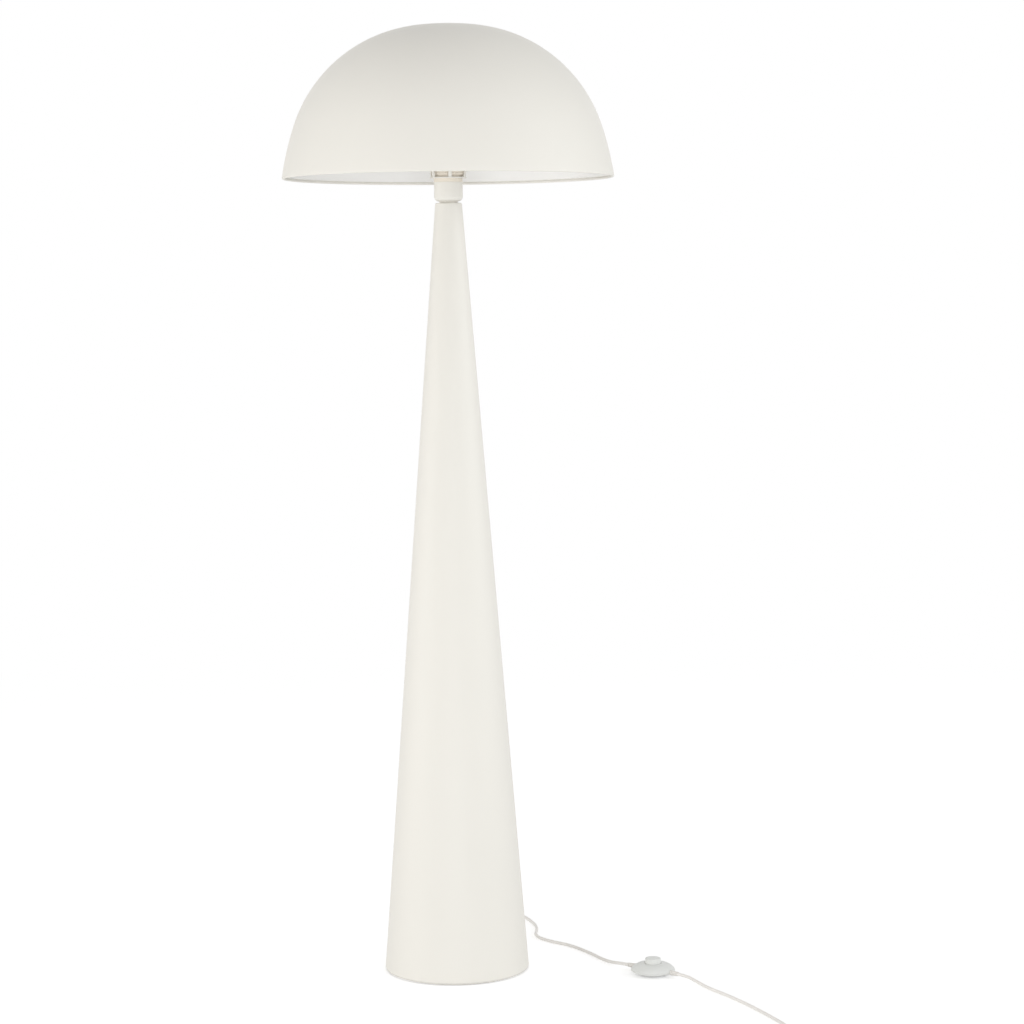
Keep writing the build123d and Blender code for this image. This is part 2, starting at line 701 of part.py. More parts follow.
def switch_reliefs(base, cover):
    """Sleeve at each side: inner flange, neck through the wall, tapered outside."""
    root_r = relief_neck_r + RELIEF_ROOT_W
    body = post(root_r, RELIEF_GRIP_X, RELIEF_GRIP_X + RELIEF_GRIP_L)
    body += post(relief_neck_r, RELIEF_GRIP_X, SWITCH_R + OVER)
    body += frustum(root_r, CORD_R + RELIEF_TIP_WALL, SWITCH_R + FIT, relief_tip)
    body -= post(CORD_R + FIT, RELIEF_GRIP_X - OVER, relief_tip + OVER)
    body = Pos(0, 0, SWITCH_PART_Z) * along_x(body)
    return [Rot(0, 0, side) * body - base - cover for side in (0, 180)]


def foot_button():
    """Round cap with a crowned top and a flange that the cover holds in."""
    edge_z = BUTTON_TOP_Z - BUTTON_CROWN
    crown_r = (BUTTON_R ** 2 + BUTTON_CROWN ** 2) / (2 * BUTTON_CROWN)
    lean = atan2(BUTTON_R, crown_r - BUTTON_CROWN) / 2
    middle = (crown_r * sin(lean), BUTTON_TOP_Z - crown_r * (1 - cos(lean)))
    flange_r = BUTTON_R + BUTTON_FLANGE_W
    outline = ThreePointArc((BUTTON_R, edge_z), middle, (0, BUTTON_TOP_Z)) + Polyline(
        (0, BUTTON_TOP_Z),
        (0, spring_high),
        (BUTTON_R - BUTTON_WALL, spring_high),
        (BUTTON_R - BUTTON_WALL, button_flange_z),
        (flange_r, button_flange_z),
        (flange_r, button_flange_z + BUTTON_FLANGE_T),
        (BUTTON_R, button_flange_z + BUTTON_FLANGE_T),
        (BUTTON_R, edge_z),
    )
    button = revolve(Plane.XZ * make_face(outline), Axis.Z)
    rim = [edge for edge in button.edges() if abs(edge.center().Z - edge_z) < FIT]
    return fillet(rim, BUTTON_ROUND)


def button_spring():
    height = spring_high - spring_low - 2 * SPRING_WIRE_R
    coil = Pos(0, 0, spring_low + SPRING_WIRE_R) * Helix(height / SPRING_TURNS, height, SPRING_R)
    return sweep(Plane(coil @ 0, z_dir=coil % 0) * Circle(SPRING_WIRE_R), coil, is_frenet=True)


def switch_core():
    return post(SWITCH_CORE_R, switch_floor, spring_low)


def switch_contacts():
    strip = Pos(0, 0, spring_low) * Box(STRIP_W, STRIP_L, STRIP_T, align=BOTTOM)
    return [Pos(side * STRIP_X, 0, 0) * strip for side in (-1, 1)]


# ---------------------------------------------------------------- routes of the free cord
def from_switch(along, z):
    """Point on the cord's line through the switch, at a distance from its centre."""
    turn = radians(SWITCH_TURN)
    return (SWITCH_X + along * cos(turn), SWITCH_Y + along * sin(turn), z)


def on_coil(angle, z):
    """Point on the coil's outer turn."""
    turn = radians(angle)
    return (COIL_X + COIL_OUTER_TURN_R * cos(turn), COIL_Y + COIL_OUTER_TURN_R * sin(turn), z)


def from_plug(along):
    """Point on the cord's line into the plug, at a distance from the plug's rear."""
    turn = radians(PLUG_TURN)
    return (plug_rear[0] + along * cos(turn), plug_rear[1] + along * sin(turn), plug_rear[2])


ROUTE_TO_SWITCH = [
    (0, bush_mouth_y, EXIT_Z),
    (0, bush_mouth_y + BUSH_SLEEVE, EXIT_Z),
    (-3, 200, 6.0),
    (-1, 243, cord_z),
    (9, 290, cord_z),
    (33, 332, cord_z),
    (74, 351, cord_z),
    (112, 331, cord_z),
    (128, 288, cord_z),
    (138, 235, cord_z),
    (130, 183, cord_z),
    (153, 146, cord_z),
    (187, 118, cord_z),
    (217, 66, cord_z),
    (236, 22, cord_z),
    (249, -3, 4.4),
    from_switch(-relief_tip - CORD_RUN_OUT, SWITCH_PART_Z),
    from_switch(-relief_tip + CORD_IN_RELIEF, SWITCH_PART_Z),
]

ROUTE_TO_PLUG = [
    from_switch(relief_tip - CORD_IN_RELIEF, SWITCH_PART_Z),
    from_switch(relief_tip + CORD_RUN_OUT, SWITCH_PART_Z),
    (373, -125, 4.6),
    (389, -160, cord_z),
    (410.5, -197, cord_z),
    (434, -244, cord_z),
    (458, -302, cord_z),
    (480, -362, cord_z),
    (496, -420, cord_z),
    on_coil(COIL_IN_ANGLE, cord_z),
]

ROUTE_TAIL = [
    on_coil(COIL_OUT_ANGLE, coil_top_z),
    (466.6, -521.1, 8.0),
    (446.5, -527.3, 7.4),
    from_plug(-31),
    plug_rear,
]


def cord_inner():
    corner = (0, 0, EXIT_Z)
    ends = (0, 0, pipe_high + CORD_END), (0, bush_mouth_y, EXIT_Z)
    path = FilletPolyline(ends[0], corner, ends[1], radius=pipe_low - EXIT_Z)
    return sweep_cord(path)


def cord_coil():
    """Outer shape of the put-away turns."""
    low, high = 0, coil_top_z + cord_z
    body = ring(COIL_OUTER_TURN_R + cord_z, COIL_INNER_TURN_R - cord_z, low, high)
    body = fillet(body.edges().filter_by(GeomType.CIRCLE), COIL_ROUND)
    return Pos(COIL_X, COIL_Y, 0) * body


# ---------------------------------------------------------------- plug, on its own axis along X
def plug_section(x, width, thick, corner):
    return Plane((x, 0, 0), x_dir=(0, 1, 0), z_dir=(1, 0, 0)) * RectangleRounded(width, thick, corner)


def plug_body():
    """Flat two-pin body, full section at its face and drawn in towards the cord."""
    face = plug_section(PLUG_L - PLUG_FACE_L, PLUG_W, PLUG_T, PLUG_CORNER)
    rear = plug_section(0, PLUG_REAR_W, PLUG_REAR_T, PLUG_CORNER)
    body = extrude(face, PLUG_FACE_L, dir=(1, 0, 0)) + loft([rear, face])
    widening = (PLUG_T - PLUG_REAR_T) / (PLUG_L - PLUG_FACE_L)
    groove = Rot(90, 0, 0) * Cylinder(GRIP_GROOVE_R, GRIP_GROOVE_L)
    for side in (-1, 1):
        bore = along_x(post(PIN_CORE_R + FIT, PLUG_L - PIN_ROOT_L, PLUG_L + OVER))
        body -= Pos(0, side * PIN_SPACING / 2, 0) * bore
        for k in range(GRIP_GROOVES):
            x = GRIP_FIRST_X + k * GRIP_PITCH
            face_z = (PLUG_REAR_T + widening * x) / 2
            body -= Pos(x, 0, side * (face_z + GRIP_GROOVE_R - GRIP_GROOVE_D)) * groove
    return body


def plug_pins():
    tip_start = PLUG_L + PIN_L - PIN_TIP_L
    tip = post(PIN_R, tip_start, PLUG_L + PIN_L)
    tip = fillet(tip.edges().sort_by(Axis.Z)[-1], PIN_R / 2)
    pin = along_x(tip + post(PIN_CORE_R, PLUG_L - PIN_ROOT_L + FIT, tip_start))
    return [Pos(0, side * PIN_SPACING / 2, 0) * pin for side in (-1, 1)]


def plug_sleeves():
    sleeve = along_x(ring(SLEEVE_R, PIN_CORE_R + FIT, PLUG_L, PLUG_L + PIN_L - PIN_TIP_L))
    return [Pos(0, side * PIN_SPACING / 2, 0) * sleeve for side in (-1, 1)]


def plug_relief():
    """Tapered sleeve with grooves that let it bend."""
    tip_r = CORD_R + PLUG_RELIEF_TIP_WALL
    root_r = CORD_R + PLUG_RELIEF_ROOT_WALL
    body = frustum(tip_r, root_r, -PLUG_RELIEF_L, 0)
    pitch = PLUG_RELIEF_L / (RELIEF_GROOVES + 1)
    for k in range(1, RELIEF_GROOVES + 1):
        low = -pitch * k - RELIEF_GROOVE_W / 2
        floor_r = root_r + (tip_r - root_r) * k / (RELIEF_GROOVES + 1) - RELIEF_GROOVE_D
        body -= ring(root_r + OVER, floor_r, low, low + RELIEF_GROOVE_W)
    return along_x(body - post(CORD_R + FIT, -PLUG_RELIEF_L - OVER, OVER))


# ---------------------------------------------------------------- write the nodes
save("base_pad", base_pad())
save("ballast", ballast())
save("clamp_washer", ring(pipe_r + CLAMP_WASHER_W, pipe_r + FIT, web_z - CLAMP_WASHER_H, web_z))
save("pipe_nuts", [pipe_nut(lower_nut_z), pipe_nut(upper_nut_z)])
save("lamp_pipe", ring(pipe_r, pipe_bore_r, pipe_low, pipe_high))
save("column_shell", column_shell())
save("cord_bush", cord_bush())
save("cord_inner", cord_inner())
save("neck_washer", ring(pipe_r + NECK_WASHER_W, pipe_r + FIT, neck_z, cup_z))

save("holder_cup", holder_cup())
save("holder_core", holder_core())
save("holder_skirt", holder_skirt())
save("screw_shell", screw_shell())
save("centre_contact", centre_contact())
save("terminal_screws", terminal_screws())
save("bulb_contact", bulb_contact())
save("bulb_insulator", bulb_insulator())
save("bulb_cap", bulb_cap())
save("bulb_glass", bulb_glass())

save("shade_ring", shade_ring())
save("shade_carrier", shade_carrier())
save("shade_studs", shade_studs())
save("shade_nuts", shade_nuts())
save("shade_dome", shade_dome())

base = switch_base()
cover = switch_cover()
save("switch_pad", switch_place * post(SWITCH_PAD_R, 0, SWITCH_PAD_T))
save("switch_base", switch_place * base)
save("switch_cover", switch_place * cover)
save("switch_reliefs", [switch_place * piece for piece in switch_reliefs(base, cover)])
save("switch_screws", [switch_place * piece for piece in switch_screws()])
save("switch_core", switch_place * switch_core())
save("switch_contacts", [switch_place * piece for piece in switch_contacts()])
save("button_spring", switch_place * button_spring())
save("foot_button", switch_place * foot_button())

save("cord_to_switch", cord_tube(ROUTE_TO_SWITCH))
save("cord_to_plug", cord_tube(ROUTE_TO_PLUG))
save("cord_coil", cord_coil())
save("cord_tail", cord_tube(ROUTE_TAIL))
save("plug_body", plug_place * plug_body())
save("plug_pins", [plug_place * piece for piece in plug_pins()])
save("plug_sleeves", [plug_place * piece for piece in plug_sleeves()])
save("plug_relief", plug_place * plug_relief())

print("overall height", round(dome_centres()[0][1] + CROWN_ARC_R, 2))
print("rim radius", round(dome_arcs(0)[-1][-1][0], 2), "rim height", round(rim_z, 2))
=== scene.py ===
"""Mushroom floor lamp: dressed pieces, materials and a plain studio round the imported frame."""
import json
from math import asin, atan, atan2, copysign, cos, degrees, pi, radians, sin

import bmesh
import bpy
from mathutils import Matrix, Vector


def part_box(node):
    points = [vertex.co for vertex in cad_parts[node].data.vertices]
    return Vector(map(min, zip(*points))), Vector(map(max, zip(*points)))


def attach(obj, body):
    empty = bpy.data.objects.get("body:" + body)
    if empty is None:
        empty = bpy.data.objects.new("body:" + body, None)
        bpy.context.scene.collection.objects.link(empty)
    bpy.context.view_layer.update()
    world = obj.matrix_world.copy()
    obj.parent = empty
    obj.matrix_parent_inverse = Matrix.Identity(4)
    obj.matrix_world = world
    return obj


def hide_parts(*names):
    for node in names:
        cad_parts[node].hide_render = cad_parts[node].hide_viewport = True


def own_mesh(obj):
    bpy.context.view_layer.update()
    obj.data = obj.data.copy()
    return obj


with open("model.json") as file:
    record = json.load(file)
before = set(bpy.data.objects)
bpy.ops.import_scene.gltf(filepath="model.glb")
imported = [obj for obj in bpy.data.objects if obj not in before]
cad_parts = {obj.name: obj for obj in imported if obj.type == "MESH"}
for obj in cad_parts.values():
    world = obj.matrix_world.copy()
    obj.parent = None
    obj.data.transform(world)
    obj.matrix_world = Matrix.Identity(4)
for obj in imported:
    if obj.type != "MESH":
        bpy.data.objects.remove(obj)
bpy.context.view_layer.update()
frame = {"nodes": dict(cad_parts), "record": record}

bl_info = {
    "name": "Mushroom Floor Lamp",
    "version": (1, 0, 0),
    "blender": (4, 5, 0),
    "location": "View3D > Sidebar > Lamp",
    "description": "Builds a mushroom floor lamp's finished pieces on its frame",
    "category": "Object",
}

MM = 0.001


def span(node):
    """Lowest and highest point of a node of the frame, in millimetres."""
    return [corner.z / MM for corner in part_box(node)]


FOOT_Z, NECK_Z = span("column_shell")
CUP_Z, COLLAR_Z = span("holder_cup")
SEAT_Z, CROWN_Z = span("shade_carrier")
RING_Z = span("shade_ring")[0]
THREAD_TOP_Z = span("holder_skirt")[1]
DOME_TOP_Z = span("shade_dome")[1]

# the cord's routes in millimetres, as the frame's cord follows them
SWITCH_CENTRE = (311.0, -62.0)
SWITCH_TURN = -40.0
SWITCH_PART_Z = 7.5
SWITCH_R = 35.0
RELIEF_TIP = 49.0
PLUG_REAR = (396.0, -524.0, 6.95)
PLUG_TURN = 172.0
COIL_CENTRE = (468.0, -476.0)
COIL_OUTER_R = 36.5
COIL_INNER_R = 25.0
COIL_IN = 10.0
COIL_OUT = -60.0
COIL_ROUNDS = 4
COIL_POINTS = 20  # in one turn
COIL_CLIMB = 120.0  # degrees in which it comes up to the second layer
CORD_Z = 2.8
LAYER_RISE = 5.6
BUSH_MOUTH = (0.0, 138.26, 11.0)


# ---- properties
def metres(name, description, default):
    """A length that the user may change."""
    return bpy.props.FloatProperty(
        name=name, description=description, default=default, min=0.0, unit="LENGTH", precision=4
    )


def tint(name, description, default):
    """A colour that the user may change."""
    return bpy.props.FloatVectorProperty(
        name=name, description=description, default=default, min=0.0, max=1.0, subtype="COLOR"
    )


def share(name, description, default):
    """A value from nothing to full."""
    return bpy.props.FloatProperty(
        name=name, description=description, default=default, min=0.0, max=1.0, subtype="FACTOR"
    )


class LAMP_Sizes(bpy.types.PropertyGroup):
    """Sizes of the lamp's visible pieces."""

    foot_radius: metres("Column foot", "Radius of the column at the floor", 0.1152)
    neck_radius: metres("Column neck", "Radius of the column at its top", 0.021)
    cup_radius: metres("Cup", "Radius of the lampholder's cup", 0.0225)
    bead_radius: metres("Rim bead", "Radius of the shade's rolled edge", 0.0019)
    dome_wall: metres("Shade wall", "Sheet thickness of the shade", 0.0012)
    rib_width: metres("Rib width", "Width of the shade carrier's ribs", 0.0055)
    rib_depth: metres("Rib depth", "Depth of the shade carrier's ribs", 0.0024)
    cord_diameter: metres("Cord", "Diameter of the mains cord", 0.0054)


class LAMP_Finishes(bpy.types.PropertyGroup):
    """Colours of the lamp's finishes."""

    paint: tint("Paint", "Warm white paint of column, cup and shade", (0.845, 0.823, 0.765))
    # ivory of the holder's moulding, warmed further by painted warm light bounced inside the shade
    ivory_and_painted_bounce: tint("Holder", "Ivory moulding of collar and ring", (0.83, 0.765, 0.665))
    # painted light: a lighter copy of the paint on the dome's inside faces brightens the inside of
    # the shade
    lining: tint("Shade lining", "White coat inside the shade", (0.935, 0.928, 0.91))
    switch: tint("Switch", "Cool white moulding of the foot switch", (0.76, 0.77, 0.745))
    cord: tint("Cord", "Jacket of the mains cord", (0.86, 0.835, 0.80))
    backdrop: tint("Backdrop", "Floor and background", (0.86, 0.86, 0.86))
    room_light: share("Room light", "Strength of the light from all sides", 0.63)


# ---- materials
NOISE_LOW, NOISE_HIGH = 0.3, 0.7  # between these a noise nearly always lies
FINISH = {}  # material by slot


def node(tree, kind, output, values=None, wires=None, **settings):
    """Adds a shader node with its settings, fixed inputs and wires, and gives one output."""
    made = tree.nodes.new("ShaderNode" + kind)
    for name, value in settings.items():
        setattr(made, name, value)
    for socket, value in (values or {}).items():
        made.inputs[socket].default_value = value
    for socket, source in (wires or {}).items():
        tree.links.new(source, made.inputs[socket])
    return made.outputs[output]


def surface(name, colour, roughness, own=None):
    """A new material, its node tree and its principled shader."""
    material = bpy.data.materials.new(name)
    material.use_nodes = True
    shader = material.node_tree.nodes["Principled BSDF"]
    values = {"Base Color": (*colour, 1.0), "Roughness": roughness, **(own or {})}
    for socket, value in values.items():
        shader.inputs[socket].default_value = value
    return material, material.node_tree, shader


def pattern(tree, scale, detail=3.0, stretch=(1.0, 1.0, 1.0)):
    """Noise in the piece's own coordinates, stretched along its axes."""
    where = node(tree, "TexCoord", "Object")
    mapped = node(tree, "Mapping", "Vector", {"Scale": stretch}, {"Vector": where})
    return node(tree, "TexNoise", "Fac", {"Scale": scale, "Detail": detail}, {"Vector": mapped})


def vary(tree, noise, shader, low, high):
    """Runs the roughness between two limits with a noise."""
    limits = {"From Min": NOISE_LOW, "From Max": NOISE_HIGH, "To Min": low, "To Max": high}
    level = node(tree, "MapRange", "Result", limits, {"Value": noise})
    tree.links.new(level, shader.inputs["Roughness"])


def mottle(tree, noise, shader, colour, depth):
    """Lets the base colour drift a little between darker and lighter."""
    sides = 1 - depth, 1 + depth
    darker, lighter = ([min(1.0, c * k) for c in colour] + [1.0] for k in sides)
    drift = node(
        tree, "Mix", "Result", {"A": darker, "B": lighter}, {"Factor": noise}, data_type="RGBA"
    )
    tree.links.new(drift, shader.inputs["Base Color"])


def bumps(tree, noise, shader, strength, distance):
    """Fine relief from a noise, its distance in metres."""
    depth = {"Strength": strength, "Distance": distance}
    relief = node(tree, "Bump", "Normal", depth, {"Height": noise})
    tree.links.new(relief, shader.inputs["Normal"])


def sprayed_paint(name, colour, roughness=0.5):
    """Satin paint with the faint texture of a sprayed coat."""
    material, tree, shader = surface(name, colour, roughness, {"Specular IOR Level": 0.35})
    cloud = pattern(tree, scale=9.0)
    mottle(tree, cloud, shader, colour, depth=0.012)
    vary(tree, cloud, shader, roughness - 0.04, roughness + 0.05)
    bumps(tree, pattern(tree, 900.0, detail=2.0), shader, strength=0.12, distance=0.00006)
    return material


def moulding(name, colour, roughness):
    """Moulded plastic or rubber with a fine skin."""
    material, tree, shader = surface(name, colour, roughness)
    cloud = pattern(tree, scale=60.0)
    mottle(tree, cloud, shader, colour, depth=0.02)
    vary(tree, cloud, shader, roughness - 0.05, roughness + 0.06)
    bumps(tree, pattern(tree, 1400.0, detail=2.0), shader, strength=0.15, distance=0.00004)
    return material


def metal(name, colour, roughness, stretch=(1.0, 1.0, 12.0)):
    """Bright metal with fine drawn lines."""
    material, tree, shader = surface(name, colour, roughness, {"Metallic": 1.0})
    lines = pattern(tree, 400.0, 3.0, stretch)
    vary(tree, lines, shader, roughness - 0.07, roughness + 0.1)
    bumps(tree, lines, shader, strength=0.08, distance=0.00003)
    return material


def casting(name, colour):
    """Rough cast iron under a coat of primer."""
    material, tree, shader = surface(name, colour, 0.65)
    grain = pattern(tree, 350.0, detail=6.0)
    mottle(tree, grain, shader, colour, depth=0.1)
    bumps(tree, grain, shader, strength=0.5, distance=0.0004)
    return material


def felt(name, colour):
    """Pressed felt."""
    material, tree, shader = surface(name, colour, 0.95, {"Sheen Weight": 0.4})
    fibres = pattern(tree, 1100.0, detail=5.0)
    mottle(tree, fibres, shader, colour, depth=0.35)
    bumps(tree, fibres, shader, strength=0.6, distance=0.0004)
    return material


def opal_glass(name, colour):
    """White bulb glass."""
    coat = {"Coat Weight": 0.4, "Coat Roughness": 0.08}
    material, tree, shader = surface(name, colour, 0.22, coat)
    cloud = pattern(tree, scale=25.0)
    mottle(tree, cloud, shader, colour, depth=0.015)
    vary(tree, cloud, shader, 0.18, 0.28)
    return material


def make_finishes(colours):
    """All materials, under the names of the record's slots, and a lighter copy of the paint,
    painted light for the shade's inside.
    """
    table = {
        "lamp_paint": (sprayed_paint, colours.paint),
        "lining": (sprayed_paint, colours.lining),
        "holder_plastic": (moulding, colours.ivory_and_painted_bounce, 0.5),
        "core_plastic": (moulding, (0.72, 0.70, 0.64), 0.55),
        "switch_plastic": (moulding, colours.switch, 0.34),
        "relay_plastic": (moulding, (0.02, 0.02, 0.02), 0.5),
        "cord_jacket": (moulding, colours.cord, 0.42),
        "soft_grip": (moulding, (0.80, 0.775, 0.735), 0.5),
        "dark_rubber": (moulding, (0.05, 0.05, 0.05), 0.75),
        "plug_plastic": (moulding, (0.80, 0.78, 0.745), 0.36),
        "sleeve_black": (moulding, (0.015, 0.015, 0.015), 0.45),
        "black_glass": (moulding, (0.01, 0.01, 0.011), 0.15),
        "zinc": (metal, (0.58, 0.59, 0.61), 0.34),
        "brass": (metal, (0.72, 0.50, 0.20), 0.28),
        "cap_metal": (metal, (0.74, 0.75, 0.76), 0.3),
        "pin_metal": (metal, (0.70, 0.70, 0.68), 0.18, (1.0, 12.0, 12.0)),
        "spring_steel": (metal, (0.50, 0.51, 0.53), 0.3),
        "iron": (casting, (0.76, 0.74, 0.69)),
        "felt": (felt, (0.62, 0.60, 0.56)),
        "opal": (opal_glass, (0.92, 0.91, 0.88)),
    }
    for slot, (make, colour, *rest) in table.items():
        FINISH[slot] = make(slot, tuple(colour), *rest)


def dress_nodes():
    """Gives every node of the frame the finish of its slot."""
    for entry in frame["record"]["subparts"]:
        obj = frame["nodes"][entry["node"]]
        obj.data.materials.clear()
        obj.data.materials.append(FINISH[entry["material_slot"]])


# ---- modelling helpers
EDGE = 0.4  # small break on turned and pressed edges
ON_AXIS = 0.01  # a corner closer than this to the axis lies on it
SAME_POINT = 0.00001  # corners closer together than this are one
GROOVE_W = 1.5  # of the grooves in a bending sleeve
GROOVE_DEPTH = 0.6


def swept(bm, geom, angle, steps, centre=(0, 0, 0), axis=(0, 0, 1), rise=0.0, merge=False):
    """Spins geometry round an axis, rising with each step, and gives what the spin ends on."""
    return bmesh.ops.spin(
        bm, geom=geom, cent=centre, axis=axis, dvec=(0, 0, rise), angle=angle, steps=steps,
        use_merge=merge, use_duplicate=False,
    )["geom_last"]


def turned(outline, steps, closed=True):
    """A bmesh turned about Z from an outline in the XZ plane.

    The outline is a list of corners (r, z) and arcs (centre r, centre z, degrees, steps); a
    positive arc goes from the top outwards and down. A closed outline joins its ends.
    """
    bm = bmesh.new()
    first = last = bm.verts.new((outline[0][0], 0, outline[0][1]))
    for item in outline[1:]:
        if len(item) == 2:
            corner = bm.verts.new((item[0], 0, item[1]))
            bm.edges.new((last, corner))
            last = corner
            continue
        r, z, sweep, parts = item
        end = swept(bm, [last], radians(sweep), parts, (r, 0, z), (0, 1, 0))
        last = [g for g in end if isinstance(g, bmesh.types.BMVert)][0]
    if closed and (last.co - first.co).length > SAME_POINT:
        bm.edges.new((last, first))
    for vert in bm.verts:
        if abs(vert.co.x) < ON_AXIS:
            vert.co.x = 0
    bmesh.ops.remove_doubles(bm, verts=bm.verts, dist=SAME_POINT)
    swept(bm, bm.verts[:] + bm.edges[:], 2 * pi, steps, merge=True)
    bmesh.ops.remove_doubles(bm, verts=bm.verts, dist=SAME_POINT)
    return bm


def bent(start, middle, end, steps):
    """Arc for an outline, from its start and end and a point between them."""
    (ax, az), (bx, bz), (cx, cz) = start, middle, end
    across = 2 * (ax * (bz - cz) + bx * (cz - az) + cx * (az - bz))
    a, b, c = (x * x + z * z for x, z in (start, middle, end))
    x = (a * (bz - cz) + b * (cz - az) + c * (az - bz)) / across
    z = (a * (cx - bx) + b * (ax - cx) + c * (bx - ax)) / across
    first, last = (ax - x, az - z), (cx - x, cz - z)
    cross = first[1] * last[0] - first[0] * last[1]
    dot = first[0] * last[0] + first[1] * last[1]
    return (x, z, degrees(atan2(cross, dot)), steps)


def sleeve(bore, start, root_r, end, tip_r, grooves):
    """Outline of a tapered sleeve with rings of grooves that let it bend."""
    outline = [(bore, start), (root_r - EDGE, start), (root_r, start + EDGE)]
    for k in range(1, grooves + 1):
        done = k / (grooves + 1)
        middle = start + (end - start) * done
        r = root_r + (tip_r - root_r) * done
        outline += [
            (r, middle - GROOVE_W / 2), (r - GROOVE_DEPTH, middle - GROOVE_W / 4),
            (r - GROOVE_DEPTH, middle + GROOVE_W / 4), (r, middle + GROOVE_W / 2),
        ]
    return outline + [(tip_r, end - EDGE), (tip_r - EDGE, end), (bore, end)]


def place(bm, *matrices):
    """Moves a whole bmesh by the matrices in turn."""
    for matrix in matrices:
        bmesh.ops.transform(bm, matrix=matrix, verts=bm.verts)
    return bm


def turn(angle, axis):
    """A turn by degrees about an axis."""
    return Matrix.Rotation(radians(angle), 4, axis)


def shift(x, y, z):
    """A move."""
    return Matrix.Translation((x, y, z))


def mesh_of(name, bm):
    """Turns a bmesh into a mesh."""
    mesh = bpy.data.meshes.new(name)
    bm.to_mesh(mesh)
    bm.free()
    return mesh


def added(name, data):
    """A new object in the scene."""
    obj = bpy.data.objects.new(name, data)
    bpy.context.scene.collection.objects.link(obj)
    return obj


def finished(name, bm, slot, nodes, body="lamp", sharp=35.0):
    """Turns a bmesh in millimetres into a piece that rides on a body and stands for nodes."""
    bmesh.ops.scale(bm, vec=(MM, MM, MM), verts=bm.verts)
    bmesh.ops.remove_doubles(bm, verts=bm.verts, dist=1e-7)
    bmesh.ops.recalc_face_normals(bm, faces=bm.faces)
    mesh = mesh_of(name, bm)
    mesh.shade_smooth()
    mesh.set_sharp_from_angle(angle=radians(sharp))
    mesh.materials.append(FINISH[slot])
    piece = added(name, mesh)
    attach(piece, body)
    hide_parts(*nodes)
    return piece


# ---- column and cup
COLUMN_WALL = 1.2
COLUMN_ROOF = 3.0
COLUMN_ROUND = 3.0
PIPE_R = 5.0
CUP_WALL = 1.3
CUP_FLOOR = 2.0
CUP_ROUND = 7.0
SPACER_R = 15.0


class LAMP_OT_column(bpy.types.Operator):
    """Roll the tapered column with its rounded neck"""

    bl_idname = "lamp.column"
    bl_label = "Column"

    def execute(self, context):
        sizes = context.scene.lamp_sizes
        foot, neck = sizes.foot_radius / MM, sizes.neck_radius / MM
        slope = (foot - neck) / (NECK_Z - FOOT_Z)
        lean = atan(slope)
        round_z = NECK_Z - COLUMN_ROUND
        round_r = foot - slope * (round_z - FOOT_Z) - COLUMN_ROUND / cos(lean)
        inset = COLUMN_WALL / cos(lean)
        roof = NECK_Z - COLUMN_ROOF
        outline = [
            (foot - inset, FOOT_Z), (foot - EDGE, FOOT_Z), (foot, FOOT_Z + EDGE),
            (round_r + COLUMN_ROUND * cos(lean), round_z + COLUMN_ROUND * sin(lean)),
            (round_r, round_z, -(90 - degrees(lean)), 10),
            (PIPE_R, NECK_Z), (PIPE_R, roof),
            (neck + slope * COLUMN_ROOF - inset, roof),
        ]
        bm = turned(outline, steps=144)
        finished("column_skin", bm, "lamp_paint", ["column_shell"])
        return {"FINISHED"}


class LAMP_OT_cup(bpy.types.Operator):
    """Turn the lampholder's painted cup and the spacer under it"""

    bl_idname = "lamp.cup"
    bl_label = "Cup"

    def execute(self, context):
        r = context.scene.lamp_sizes.cup_radius / MM
        mid = r - CUP_ROUND
        inner_z = CUP_Z + CUP_FLOOR + (CUP_ROUND - CUP_WALL)
        outline = [
            (PIPE_R, CUP_Z), (mid, CUP_Z), (mid, CUP_Z + CUP_ROUND, -90, 12),
            (r, COLLAR_Z - EDGE), (r - EDGE, COLLAR_Z), (r - CUP_WALL, COLLAR_Z),
            (r - CUP_WALL, inner_z), (mid, inner_z, 90, 8), (PIPE_R, CUP_Z + CUP_FLOOR),
        ]
        finished("cup_skin", turned(outline, steps=96), "lamp_paint", ["holder_cup"])
        waist = [
            (PIPE_R, NECK_Z), (SPACER_R, NECK_Z), (SPACER_R - 2 * EDGE, (NECK_Z + CUP_Z) / 2),
            (SPACER_R, CUP_Z), (PIPE_R, CUP_Z),
        ]
        finished("spacer", turned(waist, steps=64), "lamp_paint", ["neck_washer"])
        return {"FINISHED"}


# ---- lampholder and ring
THREAD_R = 19.9
THREAD_ROOT_R = 19.2
THREAD_PITCH = 2.6
THREAD_RUNOUT = (0.3, 0.6)  # left plain at the thread's foot and top
RIDGE_HALF = 0.36  # half of a ridge's foot, as a share of the pitch
RIDGE_FLAT = 0.08  # half of its crest, likewise
RIDGE_SINK = 0.15  # how far its foot reaches into the core
SHELL_BORE_R = 14.45
LEDGE = 3.0
SPIGOT = 6.0
SPIGOT_WALL = 2.0
SPIGOT_PLAY = 0.05  # between the spigot and the cup
COLLAR_GAP = 0.02  # between the collar's edge and the cup's
RING_PLAY = 0.05  # between the ring and the thread
RING_T = 5.4
RING_FOOT_T = 3.0
RING_FOOT_H = 3.0
BAND_H = 4.2
BAND_ROUND = 0.9
FLUTES = 36
FLUTE_DEPTH = 0.6
FLUTE_SHARE = 0.5  # a flute's width, as a share of the pitch


